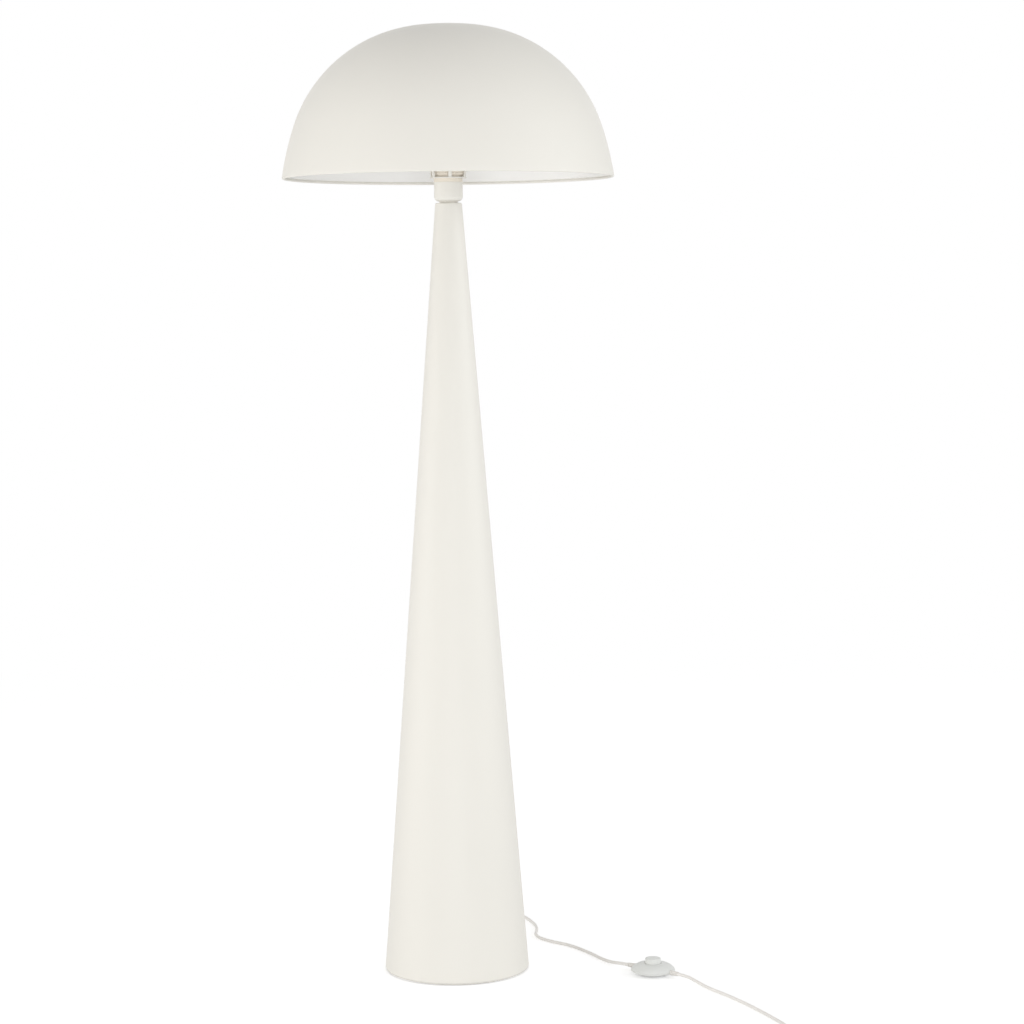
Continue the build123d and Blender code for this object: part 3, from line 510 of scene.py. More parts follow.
def coiled_ridge(root_r, crest_r, z_low, z_high, pitch, per_turn=48):
    """A closed screw ridge wound up a cylinder, its section a blunt triangle."""
    bm = bmesh.new()
    half, flat = pitch * RIDGE_HALF, pitch * RIDGE_FLAT
    section = [
        (root_r - RIDGE_SINK, z_low), (crest_r, z_low + half - flat),
        (crest_r, z_low + half + flat), (root_r - RIDGE_SINK, z_low + 2 * half),
    ]
    face = bm.faces.new([bm.verts.new((r, 0, z)) for r, z in section])
    turns = (z_high - z_low - 2 * half) / pitch
    steps = round(turns * per_turn)
    swept(bm, [face], 2 * pi * turns, steps, rise=turns * pitch / steps)
    return bm


def merged(*parts):
    """One bmesh from several."""
    whole = bmesh.new()
    for part in parts:
        mesh = mesh_of("part", part)
        whole.from_mesh(mesh)
        bpy.data.meshes.remove(mesh)
    return whole


class LAMP_OT_collar(bpy.types.Operator):
    """Turn the lampholder's collar and cut its outer thread"""

    bl_idname = "lamp.collar"
    bl_label = "Collar and thread"

    def execute(self, context):
        r = context.scene.lamp_sizes.cup_radius / MM
        spigot = r - CUP_WALL - SPIGOT_PLAY
        outline = [
            (spigot - SPIGOT_WALL, COLLAR_Z - SPIGOT), (spigot, COLLAR_Z - SPIGOT),
            (spigot, COLLAR_Z + EDGE), (r - EDGE, COLLAR_Z + COLLAR_GAP),
            (r, COLLAR_Z + EDGE), (r, SEAT_Z - EDGE), (r - EDGE, SEAT_Z),
            (THREAD_R, SEAT_Z), (THREAD_R, RING_Z), (THREAD_ROOT_R, RING_Z),
            (THREAD_ROOT_R, THREAD_TOP_Z - EDGE), (THREAD_ROOT_R - EDGE, THREAD_TOP_Z),
            (SHELL_BORE_R + EDGE, THREAD_TOP_Z), (SHELL_BORE_R, THREAD_TOP_Z - EDGE),
            (SHELL_BORE_R, SEAT_Z - LEDGE), (spigot - SPIGOT_WALL, SEAT_Z - LEDGE),
        ]
        body = turned(outline, steps=96)
        low, high = RING_Z + THREAD_RUNOUT[0], THREAD_TOP_Z - THREAD_RUNOUT[1]
        ridge = coiled_ridge(THREAD_ROOT_R, THREAD_R, low, high, THREAD_PITCH)
        finished("collar", body, "holder_plastic", ["holder_skirt"])
        finished("sleeve_thread", ridge, "holder_plastic", ["holder_skirt"])
        return {"FINISHED"}


class LAMP_OT_shade_ring(bpy.types.Operator):
    """Mould the knurled ring that clamps the shade"""

    bl_idname = "lamp.shade_ring"
    bl_label = "Shade ring"

    def execute(self, context):
        bore = THREAD_R + RING_PLAY
        foot, low = bore + RING_FOOT_T, RING_Z + RING_FOOT_H
        outline = [
            (bore, RING_Z), (foot - EDGE, RING_Z), (foot, RING_Z + EDGE), (foot, low),
            *self.band(bore + RING_T, low), *self.band(bore + RING_T, low + BAND_H)[1:],
            (bore, low + 2 * BAND_H),
        ]
        bm = turned(outline, steps=8 * FLUTES)
        for vert in bm.verts:
            r = vert.co.xy.length
            across = abs(atan2(vert.co.y, vert.co.x) * FLUTES / pi % 2 - 1)
            dip = max(0.0, 1 - ((1 - across) / FLUTE_SHARE) ** 2)
            if r > foot + EDGE:
                vert.co.xy *= 1 - FLUTE_DEPTH * dip / r
        finished("shade_clamp", bm, "holder_plastic", ["shade_ring"])
        return {"FINISHED"}

    def band(self, outer, low):
        """Outline of one rounded band of the ring."""
        high = low + BAND_H
        middle = outer - BAND_ROUND
        return [
            (middle, low), (middle, low + BAND_ROUND, -90, 5),
            (outer, high - BAND_ROUND), (middle, high - BAND_ROUND, -90, 5),
        ]


# ---- shade carrier
RIB_COUNT = 6
RIB_FIRST = -84.0  # degrees round the lamp
RIB_LOW = (28.7, 1262.0)  # radius and height of its foot
RIB_LEAN = 9.5  # degrees, there
CROWN_R = 109.0
CROWN_W = 17.0
CROWN_T = 2.5
BASE_RING = (20.4, 29.0)  # inner and outer radius
BASE_RING_T = 2.0
RIB_ROUND = 0.8
STUD_COUNT = 3
STUD_R = 2.0
STUD_HEAD = (3.2, 3.5)  # radius on the crown ring and above its broken edge
STUD_END = 4.2  # reach below the crown ring
STUD_CUT = 2.0  # where the dome's slope crosses its axis, below its top
STUD_SPARE = 1.0  # cut off along that slope
DOME_SLOPE = (0.45, 0.0, 0.89)
NUT_H = 3.2
NUT_R = 3.5
NUT_CHAMFER = 0.35


def rounded_ring(r_in, r_out, low, high, edge, steps):
    """Flat ring with all four edges rounded."""
    outline = [
        (r_in + edge, low), (r_out - edge, low), (r_out - edge, low + edge, -90, 3),
        (r_out, high - edge), (r_out - edge, high - edge, -90, 3), (r_in + edge, high),
        (r_in + edge, high - edge, -90, 3), (r_in, low + edge),
        (r_in + edge, low + edge, -90, 3),
    ]
    return turned(outline, steps)


class LAMP_OT_carrier(bpy.types.Operator):
    """Cast the ribbed shade carrier: base ring, curved ribs and crown ring"""

    bl_idname = "lamp.carrier"
    bl_label = "Shade carrier"

    def execute(self, context):
        sizes = context.scene.lamp_sizes
        width, depth = sizes.rib_width / MM, sizes.rib_depth / MM
        crown_low = CROWN_Z - CROWN_T
        rib = self.rib(width, depth, (CROWN_R, crown_low + CROWN_T / 2))
        base = rounded_ring(*BASE_RING, SEAT_Z, SEAT_Z + BASE_RING_T, edge=0.5, steps=96)
        sides = CROWN_R - CROWN_W / 2, CROWN_R + CROWN_W / 2
        crown = rounded_ring(*sides, crown_low, CROWN_Z, edge=0.6, steps=128)
        ribs = [
            place(rib.copy(), turn(360 / RIB_COUNT * k, "Z"), turn(RIB_FIRST, "Z"))
            for k in range(RIB_COUNT)
        ]
        finished("carrier", merged(base, crown, *ribs), "lamp_paint", ["shade_carrier"])
        return {"FINISHED"}

    def rib(self, width, depth, high):
        """A flat bar bent on one arc in the XZ plane, with rounded edges."""
        run, rise = high[0] - RIB_LOW[0], high[1] - RIB_LOW[1]
        low_lean = radians(RIB_LEAN)
        high_lean = 2 * atan2(run, rise) - low_lean
        bend = (run ** 2 + rise ** 2) ** 0.5 / (2 * sin((high_lean - low_lean) / 2))
        centre = (RIB_LOW[0] + bend * cos(low_lean), 0, RIB_LOW[1] - bend * sin(low_lean))
        bm = bmesh.new()
        bmesh.ops.create_grid(bm, x_segments=1, y_segments=1, size=0.5)
        bmesh.ops.scale(bm, vec=(depth, width, 1), verts=bm.verts)
        bmesh.ops.bevel(
            bm, geom=bm.verts[:], offset=RIB_ROUND, offset_type="OFFSET", segments=4,
            profile=0.5, affect="VERTICES", material=-1,
        )
        place(bm, shift(-bend - depth / 2, 0, 0), turn(RIB_LEAN, "Y"), shift(*centre))
        flat = bm.faces[:] + bm.edges[:] + bm.verts[:]
        swept(bm, flat, high_lean - low_lean, 20, centre, axis=(0, 1, 0))
        return bm


class LAMP_OT_studs(bpy.types.Operator):
    """Weld the stand-off studs into the dome and put their nuts on"""

    bl_idname = "lamp.studs"
    bl_label = "Studs and nuts"

    def execute(self, context):
        studs, nuts = [], []
        crown_low = CROWN_Z - CROWN_T
        top = span("shade_studs")[1]
        for k in range(STUD_COUNT):
            angle = RIB_FIRST + 180 / RIB_COUNT + 360 / STUD_COUNT * k
            where = turn(angle, "Z") @ shift(CROWN_R, 0, 0)
            studs.append(place(self.stud(crown_low, top), where))
            nuts.append(place(self.nut(crown_low - NUT_H, crown_low), where))
        finished("studs", merged(*studs), "lamp_paint", ["shade_studs"])
        finished("stud_nuts", merged(*nuts), "zinc", ["shade_nuts"])
        return {"FINISHED"}

    def stud(self, crown_low, top):
        """Shouldered post, its head cut to the slope of the dome."""
        low, shoulder = crown_low - STUD_END, crown_low + CROWN_T
        outline = [
            (0, low), (STUD_R - EDGE, low), (STUD_R, low + EDGE), (STUD_R, shoulder),
            (STUD_HEAD[0], shoulder), (STUD_HEAD[1], shoulder + EDGE),
            (STUD_HEAD[1], top + STUD_SPARE), (0, top + STUD_SPARE),
        ]
        bm = turned(outline, steps=32, closed=False)
        cut = bmesh.ops.bisect_plane(
            bm, geom=bm.verts[:] + bm.edges[:] + bm.faces[:], plane_co=(0, 0, top - STUD_CUT),
            plane_no=DOME_SLOPE, clear_outer=True,
        )
        rim = [g for g in cut["geom_cut"] if isinstance(g, bmesh.types.BMEdge)]
        bmesh.ops.edgeloop_fill(bm, edges=rim)
        return bm

    def nut(self, low, high):
        """Small hexagon nut with chamfered corners."""
        bm = bmesh.new()
        corner_r = NUT_R / cos(pi / 6)
        bmesh.ops.create_cone(
            bm, cap_ends=True, segments=6, radius1=corner_r, radius2=corner_r, depth=high - low
        )
        bmesh.ops.bevel(
            bm, geom=bm.edges[:], offset=NUT_CHAMFER, offset_type="OFFSET", segments=2,
            profile=0.5, affect="EDGES", material=-1,
        )
        return place(bm, shift(0, 0, (low + high) / 2))


# ---- dome
DOME_ARCS = ((480.0, 5.75), (227.4, 65.65), (480.0, 9.9))  # radius and degrees
DOME_STEPS = (6, 48, 10)
RIM_LEAN = 81.3  # degrees, where the rim stands
BEAD_TURN = 236.0  # degrees that the edge is rolled
BEAD_STEPS = 16
BEAD_SEAM = 0.36  # degrees from the rim to where the roll meets the wall


def polar(centre, radius, degrees_down):
    """Point at an angle from the top of a circle in the XZ plane."""
    angle = radians(degrees_down)
    return (centre[0] + radius * sin(angle), centre[1] + radius * cos(angle))


class LAMP_OT_dome(bpy.types.Operator):
    """Spin the dome from three tangent arcs and roll its rim to a bead"""

    bl_idname = "lamp.dome"
    bl_label = "Dome"

    def execute(self, context):
        sizes = context.scene.lamp_sizes
        wall, bead = sizes.dome_wall / MM, sizes.bead_radius / MM
        centres = self.centres()
        outline = [(0, DOME_TOP_Z)]
        for (radius, angle), steps, centre in zip(DOME_ARCS, DOME_STEPS, centres):
            outline.append((*centre, angle, steps))
        bead_centre = polar(centres[2], DOME_ARCS[2][0] - bead, RIM_LEAN)
        outline.append((*bead_centre, BEAD_TURN, BEAD_STEPS))
        outline.append(polar(centres[2], DOME_ARCS[2][0] - wall, RIM_LEAN - BEAD_SEAM))
        for k, seam in ((2, BEAD_SEAM), (1, 0.0), (0, 0.0)):
            outline.append((*centres[k], seam - DOME_ARCS[k][1], DOME_STEPS[k]))
        bm = turned(outline, steps=192, closed=False)
        mesh = finished("dome", bm, "lamp_paint", ["shade_dome"], sharp=50).data
        mesh.materials.append(FINISH["lining"])
        bead_top = (bead_centre[1] + bead) * MM
        # the dome's downward inside faces take the lighter copy of the paint, painted light inside
        # the shade
        for face in mesh.polygons:
            face.material_index = int(face.normal.z < 0 and face.center.z > bead_top)
        return {"FINISHED"}

    def centres(self):
        """Centres of the three arcs, worked down from the top of the dome."""
        radii = [radius for radius, angle in DOME_ARCS]
        centres = [(0.0, DOME_TOP_Z - radii[0])]
        lean = 0.0
        for k in (0, 1):
            lean += DOME_ARCS[k][1]
            centres.append(polar(centres[k], radii[k] - radii[k + 1], lean))
        return centres


# ---- bulb
BULB_R = 30.0
BULB_NECK_R = 15.5
BULB_FLARE_R = 16.0  # of the hollow curve between neck and globe
BULB_FOOT_ROUND = 1.0
CAP_R = 12.4
CAP_FOOT_R = 11.4
CAP_FOOT_H = 1.2
CAP_CREST_R = 13.0
CAP_PITCH = 3.6
CAP_THREAD = (1.4, 3.0)  # from the cap's foot and from its top
CAP_RIM = ((12.3, 2.6), (12.95, 2.0), (12.95, 0.0), (12.3, 0.0))  # radius, and depth from its top


class LAMP_OT_bulb(bpy.types.Operator):
    """Blow the opal bulb and roll its cap's thread"""

    bl_idname = "lamp.bulb"
    bl_label = "Bulb"

    def execute(self, context):
        globe = turned(self.globe(*span("bulb_glass")), steps=72, closed=False)
        finished("bulb_globe", globe, "opal", ["bulb_glass"], "bulb")
        low, high = span("bulb_cap")
        outline = [
            (0, low), (CAP_FOOT_R, low), (CAP_R, low + CAP_FOOT_H), (CAP_R, high), (0, high)
        ]
        body = turned(outline, steps=64, closed=False)
        ridge = coiled_ridge(
            CAP_R, CAP_CREST_R, low + CAP_THREAD[0], high - CAP_THREAD[1], CAP_PITCH, per_turn=40
        )
        rim = turned([(r, high - depth) for r, depth in CAP_RIM], steps=64)
        finished("bulb_thread", merged(body, ridge, rim), "cap_metal", ["bulb_cap"], "bulb")
        return {"FINISHED"}

    def globe(self, low, high):
        """Outline from the neck's foot, out along the flare and over the globe to its top."""
        centre_z = high - BULB_R
        reach, across = BULB_R + BULB_FLARE_R, BULB_NECK_R + BULB_FLARE_R
        drop = (reach ** 2 - across ** 2) ** 0.5
        lean = degrees(atan2(drop, across))
        foot_r = BULB_NECK_R - BULB_FOOT_ROUND
        return [
            (0, low), (foot_r, low), (foot_r, low + BULB_FOOT_ROUND, -90, 4),
            (BULB_NECK_R, centre_z - drop), (across, centre_z - drop, lean, 10),
            (0, centre_z, -90 - lean, 30),
        ]


# ---- foot switch
CORD_BORE = 2.75
COVER_TOP_Z = 18.0
COVER_COLLAR_R = 16.5
COVER_BAND_Z = 8.7
COVER_WALL = 2.0
COVER_BULGE = (0.40, 0.70)  # where the cover's curve passes, inwards and up
BUTTON_HOLE_R = 13.35
BUTTON_R = 12.75
BUTTON_TOP_Z = 27.5
BUTTON_CROWN = 1.6
BUTTON_ROUND = 1.6
BUTTON_FLANGE = (14.95, 13.7, 15.7)  # radius, underside and top
BUTTON_INSIDE = (10.55, 25.3)  # radius and ceiling
BUTTON_RING = 0.72  # where the groove in its top runs, as a share of the way out
BUTTON_GROOVE = 0.35
BUTTON_GROOVE_IN = 0.5  # degrees down the groove's inner side
BUTTON_GROOVE_OUT = degrees(0.009)
RELIEF_NECK_R = 3.4
RELIEF_ROOT_R = 4.2
RELIEF_TIP_R = 3.3
RELIEF_GRIP = (25.0, 27.5)  # its flange inside, from the middle
RELIEF_PLAY = 0.05  # between the cover and the sleeve's root
SPRING_R = 5.0
SPRING_WIRE_R = 0.5
SPRING_TURNS = 5
SPRING_STEPS = 24  # in one turn
SPRING_PLAY = 0.05


def in_switch(bm, *matrices):
    """Moves a bmesh by the matrices and then into the foot switch's place."""
    return place(bm, *matrices, shift(*SWITCH_CENTRE, 0) @ turn(SWITCH_TURN, "Z"))


def reliefs_on(bm):
    """Lays a sleeve that was turned about Z along both ways out of the switch."""
    up = shift(0, 0, SWITCH_PART_Z)
    ahead = in_switch(bm.copy(), turn(90, "Y"), up)
    return merged(ahead, in_switch(bm, turn(-90, "Y"), up))


class LAMP_OT_switch(bpy.types.Operator):
    """Mould the foot switch's cover, button and cord sleeves, and wind its spring"""

    bl_idname = "lamp.switch"
    bl_label = "Foot switch"

    def execute(self, context):
        cover = in_switch(turned(self.cover(), steps=128))
        finished("cover", cover, "switch_plastic", ["switch_cover"])
        button = in_switch(turned(self.button(), steps=96, closed=False))
        finished("button", button, "switch_plastic", ["foot_button"], "button")
        grip_low, grip_high = RELIEF_GRIP
        start = SWITCH_R + RELIEF_PLAY
        outline = [
            (CORD_BORE, grip_low), (RELIEF_ROOT_R, grip_low),
            (RELIEF_ROOT_R, grip_high), (RELIEF_NECK_R, grip_high),
            *sleeve(RELIEF_NECK_R, start, RELIEF_ROOT_R, RELIEF_TIP, RELIEF_TIP_R, grooves=3)[:-1],
            (CORD_BORE, RELIEF_TIP),
        ]
        reliefs = reliefs_on(turned(outline, steps=48))
        finished("reliefs", reliefs, "soft_grip", ["switch_reliefs"])
        low, high = span("button_spring")
        coil = in_switch(self.spring(low, high - SPRING_PLAY))
        spring = finished("spring", coil, "spring_steel", ["button_spring"])
        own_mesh(spring)
        return {"FINISHED"}

    def spring(self, low, high):
        """Round wire wound up under the button."""
        rise = high - low - 2 * SPRING_WIRE_R
        steps = SPRING_STEPS * SPRING_TURNS
        bm = bmesh.new()
        bmesh.ops.create_circle(bm, cap_ends=True, radius=SPRING_WIRE_R, segments=12)
        place(bm, turn(90, "X"), shift(SPRING_R, 0, low + SPRING_WIRE_R))
        end = bm.verts[:] + bm.edges[:] + bm.faces[:]
        swept(bm, end, 2 * pi * SPRING_TURNS, steps, rise=rise / steps)
        return bm

    def cover(self):
        """Domed cover with a groove at its parting line and a collar round the button."""
        inner_r, ceiling = SWITCH_R - COVER_WALL, COVER_TOP_Z - COVER_WALL
        outside, inside = self.curve(SWITCH_R, COVER_TOP_Z), self.curve(inner_r, ceiling)
        return [
            (inner_r, SWITCH_PART_Z), (SWITCH_R - EDGE, SWITCH_PART_Z),
            (SWITCH_R - EDGE, SWITCH_PART_Z + EDGE / 2),
            (SWITCH_R, SWITCH_PART_Z + EDGE), (SWITCH_R, COVER_BAND_Z), outside,
            (COVER_COLLAR_R - EDGE, COVER_TOP_Z + EDGE / 2),
            (BUTTON_HOLE_R + EDGE, COVER_TOP_Z + EDGE / 2),
            (BUTTON_HOLE_R, COVER_TOP_Z - EDGE / 2), (BUTTON_HOLE_R, ceiling),
            (COVER_COLLAR_R, ceiling), (inside[0], inside[1], -inside[2], inside[3]),
        ]

    def curve(self, side, top):
        """The cover's bulge from its band up to the collar."""
        width, height = side - COVER_COLLAR_R, top - COVER_BAND_Z
        middle = (side - width * COVER_BULGE[0], COVER_BAND_Z + height * COVER_BULGE[1])
        return bent((side, COVER_BAND_Z), middle, (COVER_COLLAR_R, top), 16)

    def button(self):
        """Crowned button with a shallow ring in its top and a flange inside the cover."""
        flange_r, flange_low, flange_high = BUTTON_FLANGE
        inner_r, inner_z = BUTTON_INSIDE
        crown_r = (BUTTON_R ** 2 + BUTTON_CROWN ** 2) / (2 * BUTTON_CROWN)
        centre = (0, BUTTON_TOP_Z - crown_r)
        rim_r = BUTTON_R - BUTTON_ROUND
        rim_lean = degrees(asin(rim_r / (crown_r - BUTTON_ROUND)))
        rim_z = centre[1] + (crown_r - BUTTON_ROUND) * cos(radians(rim_lean))
        ring_lean = rim_lean * BUTTON_RING
        deepest = ring_lean + BUTTON_GROOVE_IN
        outer = deepest + BUTTON_GROOVE_OUT
        return [
            (0, BUTTON_TOP_Z), (*centre, ring_lean, 8),
            polar(centre, crown_r - BUTTON_GROOVE, deepest),
            polar(centre, crown_r, outer), (*centre, rim_lean - outer, 3),
            (rim_r, rim_z, 90 - rim_lean, 6), (BUTTON_R, flange_high),
            (flange_r, flange_high), (flange_r, flange_low), (inner_r, flange_low),
            (inner_r, inner_z), (0, inner_z),
        ]


# ---- bush and plug
BUSH_WALL_Y = 114.66  # the column's outside at the bush's height
BUSH_FLANGE_R = 6.3
BUSH_NECK_R = 4.4
BUSH_ROOT_R = 5.0
BUSH_TIP_R = 3.5
BUSH_FLANGE_T = 1.6
BUSH_INSIDE = 3.0  # reach inside the column
BUSH_SUNK = 1.0  # how far the flange is let into the round wall
PLUG_L = 35.0
PLUG_FACE_L = 10.0
PLUG_FACE = (35.3, 13.7)  # width and thickness
PLUG_REAR_SIZE = (17.0, 11.5)
PLUG_CORNER = 5.5
PLUG_STEPS = 48  # round the outline of one section
PLUG_EDGE = ((0.0, 1.2), (0.35, 0.35), (1.2, 0.0))  # distance from an end, and inset there
PLUG_SLEEVE_L = 22.0
PLUG_ROOT_R = 5.2
GRIPS = 4
GRIP_FIRST = 7.0
GRIP_PITCH = 3.8
GRIP_DEPTH = 0.6
GRIP_HALF = 1.1


class LAMP_OT_bush(bpy.types.Operator):
    """Mould the sleeve that brings the cord out of the column"""

    bl_idname = "lamp.bush"
    bl_label = "Cord bush"

    def execute(self, context):
        flange, mouth = BUSH_WALL_Y + BUSH_FLANGE_T, BUSH_MOUTH[1]
        start, sunk = BUSH_WALL_Y - BUSH_INSIDE, BUSH_WALL_Y - BUSH_SUNK
        outline = [
            (CORD_BORE, start), (BUSH_NECK_R, start), (BUSH_NECK_R, sunk),
            (BUSH_FLANGE_R, sunk), (BUSH_FLANGE_R, flange - EDGE),
            (BUSH_FLANGE_R - EDGE, flange),
            *sleeve(BUSH_NECK_R, flange, BUSH_ROOT_R, mouth, BUSH_TIP_R, grooves=4)[1:-1],
            (CORD_BORE, mouth),
        ]
        bm = place(turned(outline, steps=48), turn(-90, "X"), shift(0, 0, BUSH_MOUTH[2]))
        finished("bush", bm, "soft_grip", ["cord_bush"])
        return {"FINISHED"}


class LAMP_OT_plug(bpy.types.Operator):
    """Mould the flat two-pin plug with grip grooves and its bending sleeve"""

    bl_idname = "lamp.plug"
    bl_label = "Plug"

    def execute(self, context):
        here = shift(*PLUG_REAR) @ turn(PLUG_TURN, "Z")
        body = place(self.body(), here)
        finished("plug_shell", body, "plug_plastic", ["plug_body"])
        outline = sleeve(CORD_BORE, 0.0, BUSH_TIP_R, PLUG_SLEEVE_L, PLUG_ROOT_R, grooves=4)
        bend = turned(outline, steps=48)
        place(bend, turn(90, "Y"), shift(-PLUG_SLEEVE_L, 0, 0), here)
        finished("plug_bend", bend, "plug_plastic", ["plug_relief"])
        return {"FINISHED"}

    def body(self):
        """Rounded sections along X joined into one skin, drawn in towards the cord."""
        bm = bmesh.new()
        face_x = PLUG_L - PLUG_FACE_L
        stations = list(PLUG_EDGE)
        for k in range(GRIPS):
            x = GRIP_FIRST + k * GRIP_PITCH
            stations += [(x - GRIP_HALF, 0.0), (x - GRIP_HALF / 2, GRIP_DEPTH)]
            stations += [(x + GRIP_HALF / 2, GRIP_DEPTH), (x + GRIP_HALF, 0.0)]
        stations.append((face_x, 0.0))
        stations += [(PLUG_L - x, inset) for x, inset in reversed(PLUG_EDGE)]
        loops = []
        for x, inset in stations:
            done = min(1.0, x / face_x)
            width, thick = (
                rear + (face - rear) * done for rear, face in zip(PLUG_REAR_SIZE, PLUG_FACE)
            )
            if not GRIP_FIRST - GRIP_HALF < x < face_x:
                width -= 2 * inset
            loops.append(self.section(bm, x, width, thick - 2 * inset, PLUG_CORNER - inset))
        for before, after in zip(loops, loops[1:]):
            bmesh.ops.bridge_loops(bm, edges=before + after)
        for loop in (loops[0], loops[-1]):
            bmesh.ops.edgeloop_fill(bm, edges=loop)
        return bm

    def section(self, bm, x, width, thick, corner):
        """Rounded rectangle square to X: a circle whose quarters are moved apart."""
        ring = bmesh.ops.create_circle(bm, radius=corner, segments=PLUG_STEPS)["verts"]
        bmesh.ops.rotate(bm, verts=ring, matrix=Matrix.Rotation(pi / PLUG_STEPS, 3, "Z"))
        for vert in ring:
            across, up = vert.co.x, vert.co.y
            vert.co = (
                x,
                copysign(width / 2 - corner, across) + across,
                (copysign(max(0.0, thick / 2 - corner), up) + up) * min(1.0, thick / 2 / corner),
            )
        return list({edge for vert in ring for edge in vert.link_edges})


# ---- cords
def on_line(origin, angle, distance, z):
    """Point on a level line through a place, at an angle across the floor."""
    angle = radians(angle)
    return (origin[0] + distance * cos(angle), origin[1] + distance * sin(angle), z)


def from_switch(distance):
    """Point on the cord's line through the switch."""
    return on_line(SWITCH_CENTRE, SWITCH_TURN, distance, SWITCH_PART_Z)


def on_floor(*places):
    """Points of a cord that lies on the floor."""
    return [(x, y, CORD_Z) for x, y in places]


def coil_turns():
    """Two flat layers of turns, inwards on the floor and back outwards on top."""
    points = []
    sweep = COIL_OUT - COIL_IN - 360.0 * COIL_ROUNDS
    count = round(-sweep * COIL_POINTS / 360.0)
    for k in range(count + 1):
        done = k / count
        inward = 1 - abs(2 * done - 1)
        r = COIL_OUTER_R - (COIL_OUTER_R - COIL_INNER_R) * inward
        rise = min(1.0, max(0.0, 0.5 - (done - 0.5) * sweep / COIL_CLIMB))
        z = CORD_Z + LAYER_RISE * rise * rise * (3 - 2 * rise)
        points.append(on_line(COIL_CENTRE, COIL_IN + sweep * done, r, z))
    return points


def route_to_switch():
    """From the bush, round behind the column and to the right, into the foot switch."""
    x, y, z = BUSH_MOUTH
    return [
        BUSH_MOUTH,
        (x, y + 22, z),
        (-3, 200, 6.0),
        *on_floor(
            (-1, 243), (9, 290), (33, 332), (74, 351), (112, 331), (128, 288), (138, 235),
            (130, 183), (153, 146), (187, 118), (217, 66), (236, 22),
        ),
        (249, -3, 4.4),
        from_switch(-RELIEF_TIP - 14),
        from_switch(-RELIEF_TIP + 16),
    ]


def route_to_plug():
    """From the foot switch out of view, through the coil and into the plug."""
    return [
        from_switch(RELIEF_TIP - 16),
        from_switch(RELIEF_TIP + 14),
        (373, -125, 4.6),
        *on_floor(
            (389, -160), (410.5, -197), (434, -244), (458, -302), (480, -362), (496, -420),
        ),
        *coil_turns(),
        (466.6, -521.1, 8.0),
        (446.5, -527.3, 7.4),
        on_line(PLUG_REAR, PLUG_TURN, -31, PLUG_REAR[2]),
        PLUG_REAR,
    ]


def cord_curve(name, points, diameter, nodes):
    """One smooth NURBS line with a round section through the route."""
    curve = bpy.data.curves.new(name, "CURVE")
    curve.dimensions = "3D"
    curve.resolution_u = 8
    curve.bevel_depth = diameter / 2
    curve.bevel_resolution = 5
    curve.use_fill_caps = True
    spline = curve.splines.new("NURBS")
    spline.points.add(len(points) - 1)
    for point, (x, y, z) in zip(spline.points, points):
        point.co = (x * MM, y * MM, z * MM, 1.0)
    spline.order_u = 3
    spline.use_endpoint_u = True
    curve.materials.append(FINISH["cord_jacket"])
    piece = added(name, curve)
    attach(piece, "lamp")
    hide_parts(*nodes)
    return piece


class LAMP_OT_cords(bpy.types.Operator):
    """Lay the mains cord from the base to the foot switch and on to the plug"""

    bl_idname = "lamp.cords"
    bl_label = "Cords"

    def execute(self, context):
        diameter = context.scene.lamp_sizes.cord_diameter
        near = cord_curve("cord_near", route_to_switch(), diameter, ["cord_to_switch"])
        far = cord_curve(
            "cord_far", route_to_plug(), diameter, ["cord_to_plug", "cord_coil", "cord_tail"]
        )
        return {"FINISHED"}


# ---- stage
CAMERA_PLACE = (0.0, -4.1168, 1.0897)
CAMERA_TURN = (1.323, 4.929, -0.55)  # degrees to the right, down and rolled
LENS = 91.504
FLOOR_R = 60.0
FADE_FROM, FADE_TO = 1.5, 3.5  # where the floor turns to plain white
FLOOR_Z = -0.0002  # just clear of the felt, so that the two don't flicker
FLOOR_GLOW = 0.42  # brings the lit floor up to white where the camera sees it
CONTACT = 0.0015  # a face closer to the floor than this lies on it
SOFT_LIGHTS = (  # name, place, height it is aimed at, sides, watts, colour
    ("light_left", (-4.25, -0.9, 0.7), 0.7, (3.2, 1.8), 54.0, (1.0, 0.985, 0.96)),
    ("light_right", (4.25, -0.9, 1.8), 1.8, (3.2, 1.8), 51.0, (0.965, 0.985, 1.0)),
    ("light_front", (0.0, -3.6, 0.3), 1.2, (1.6, 0.5), 33.0, (1.0, 1.0, 1.0)),
)


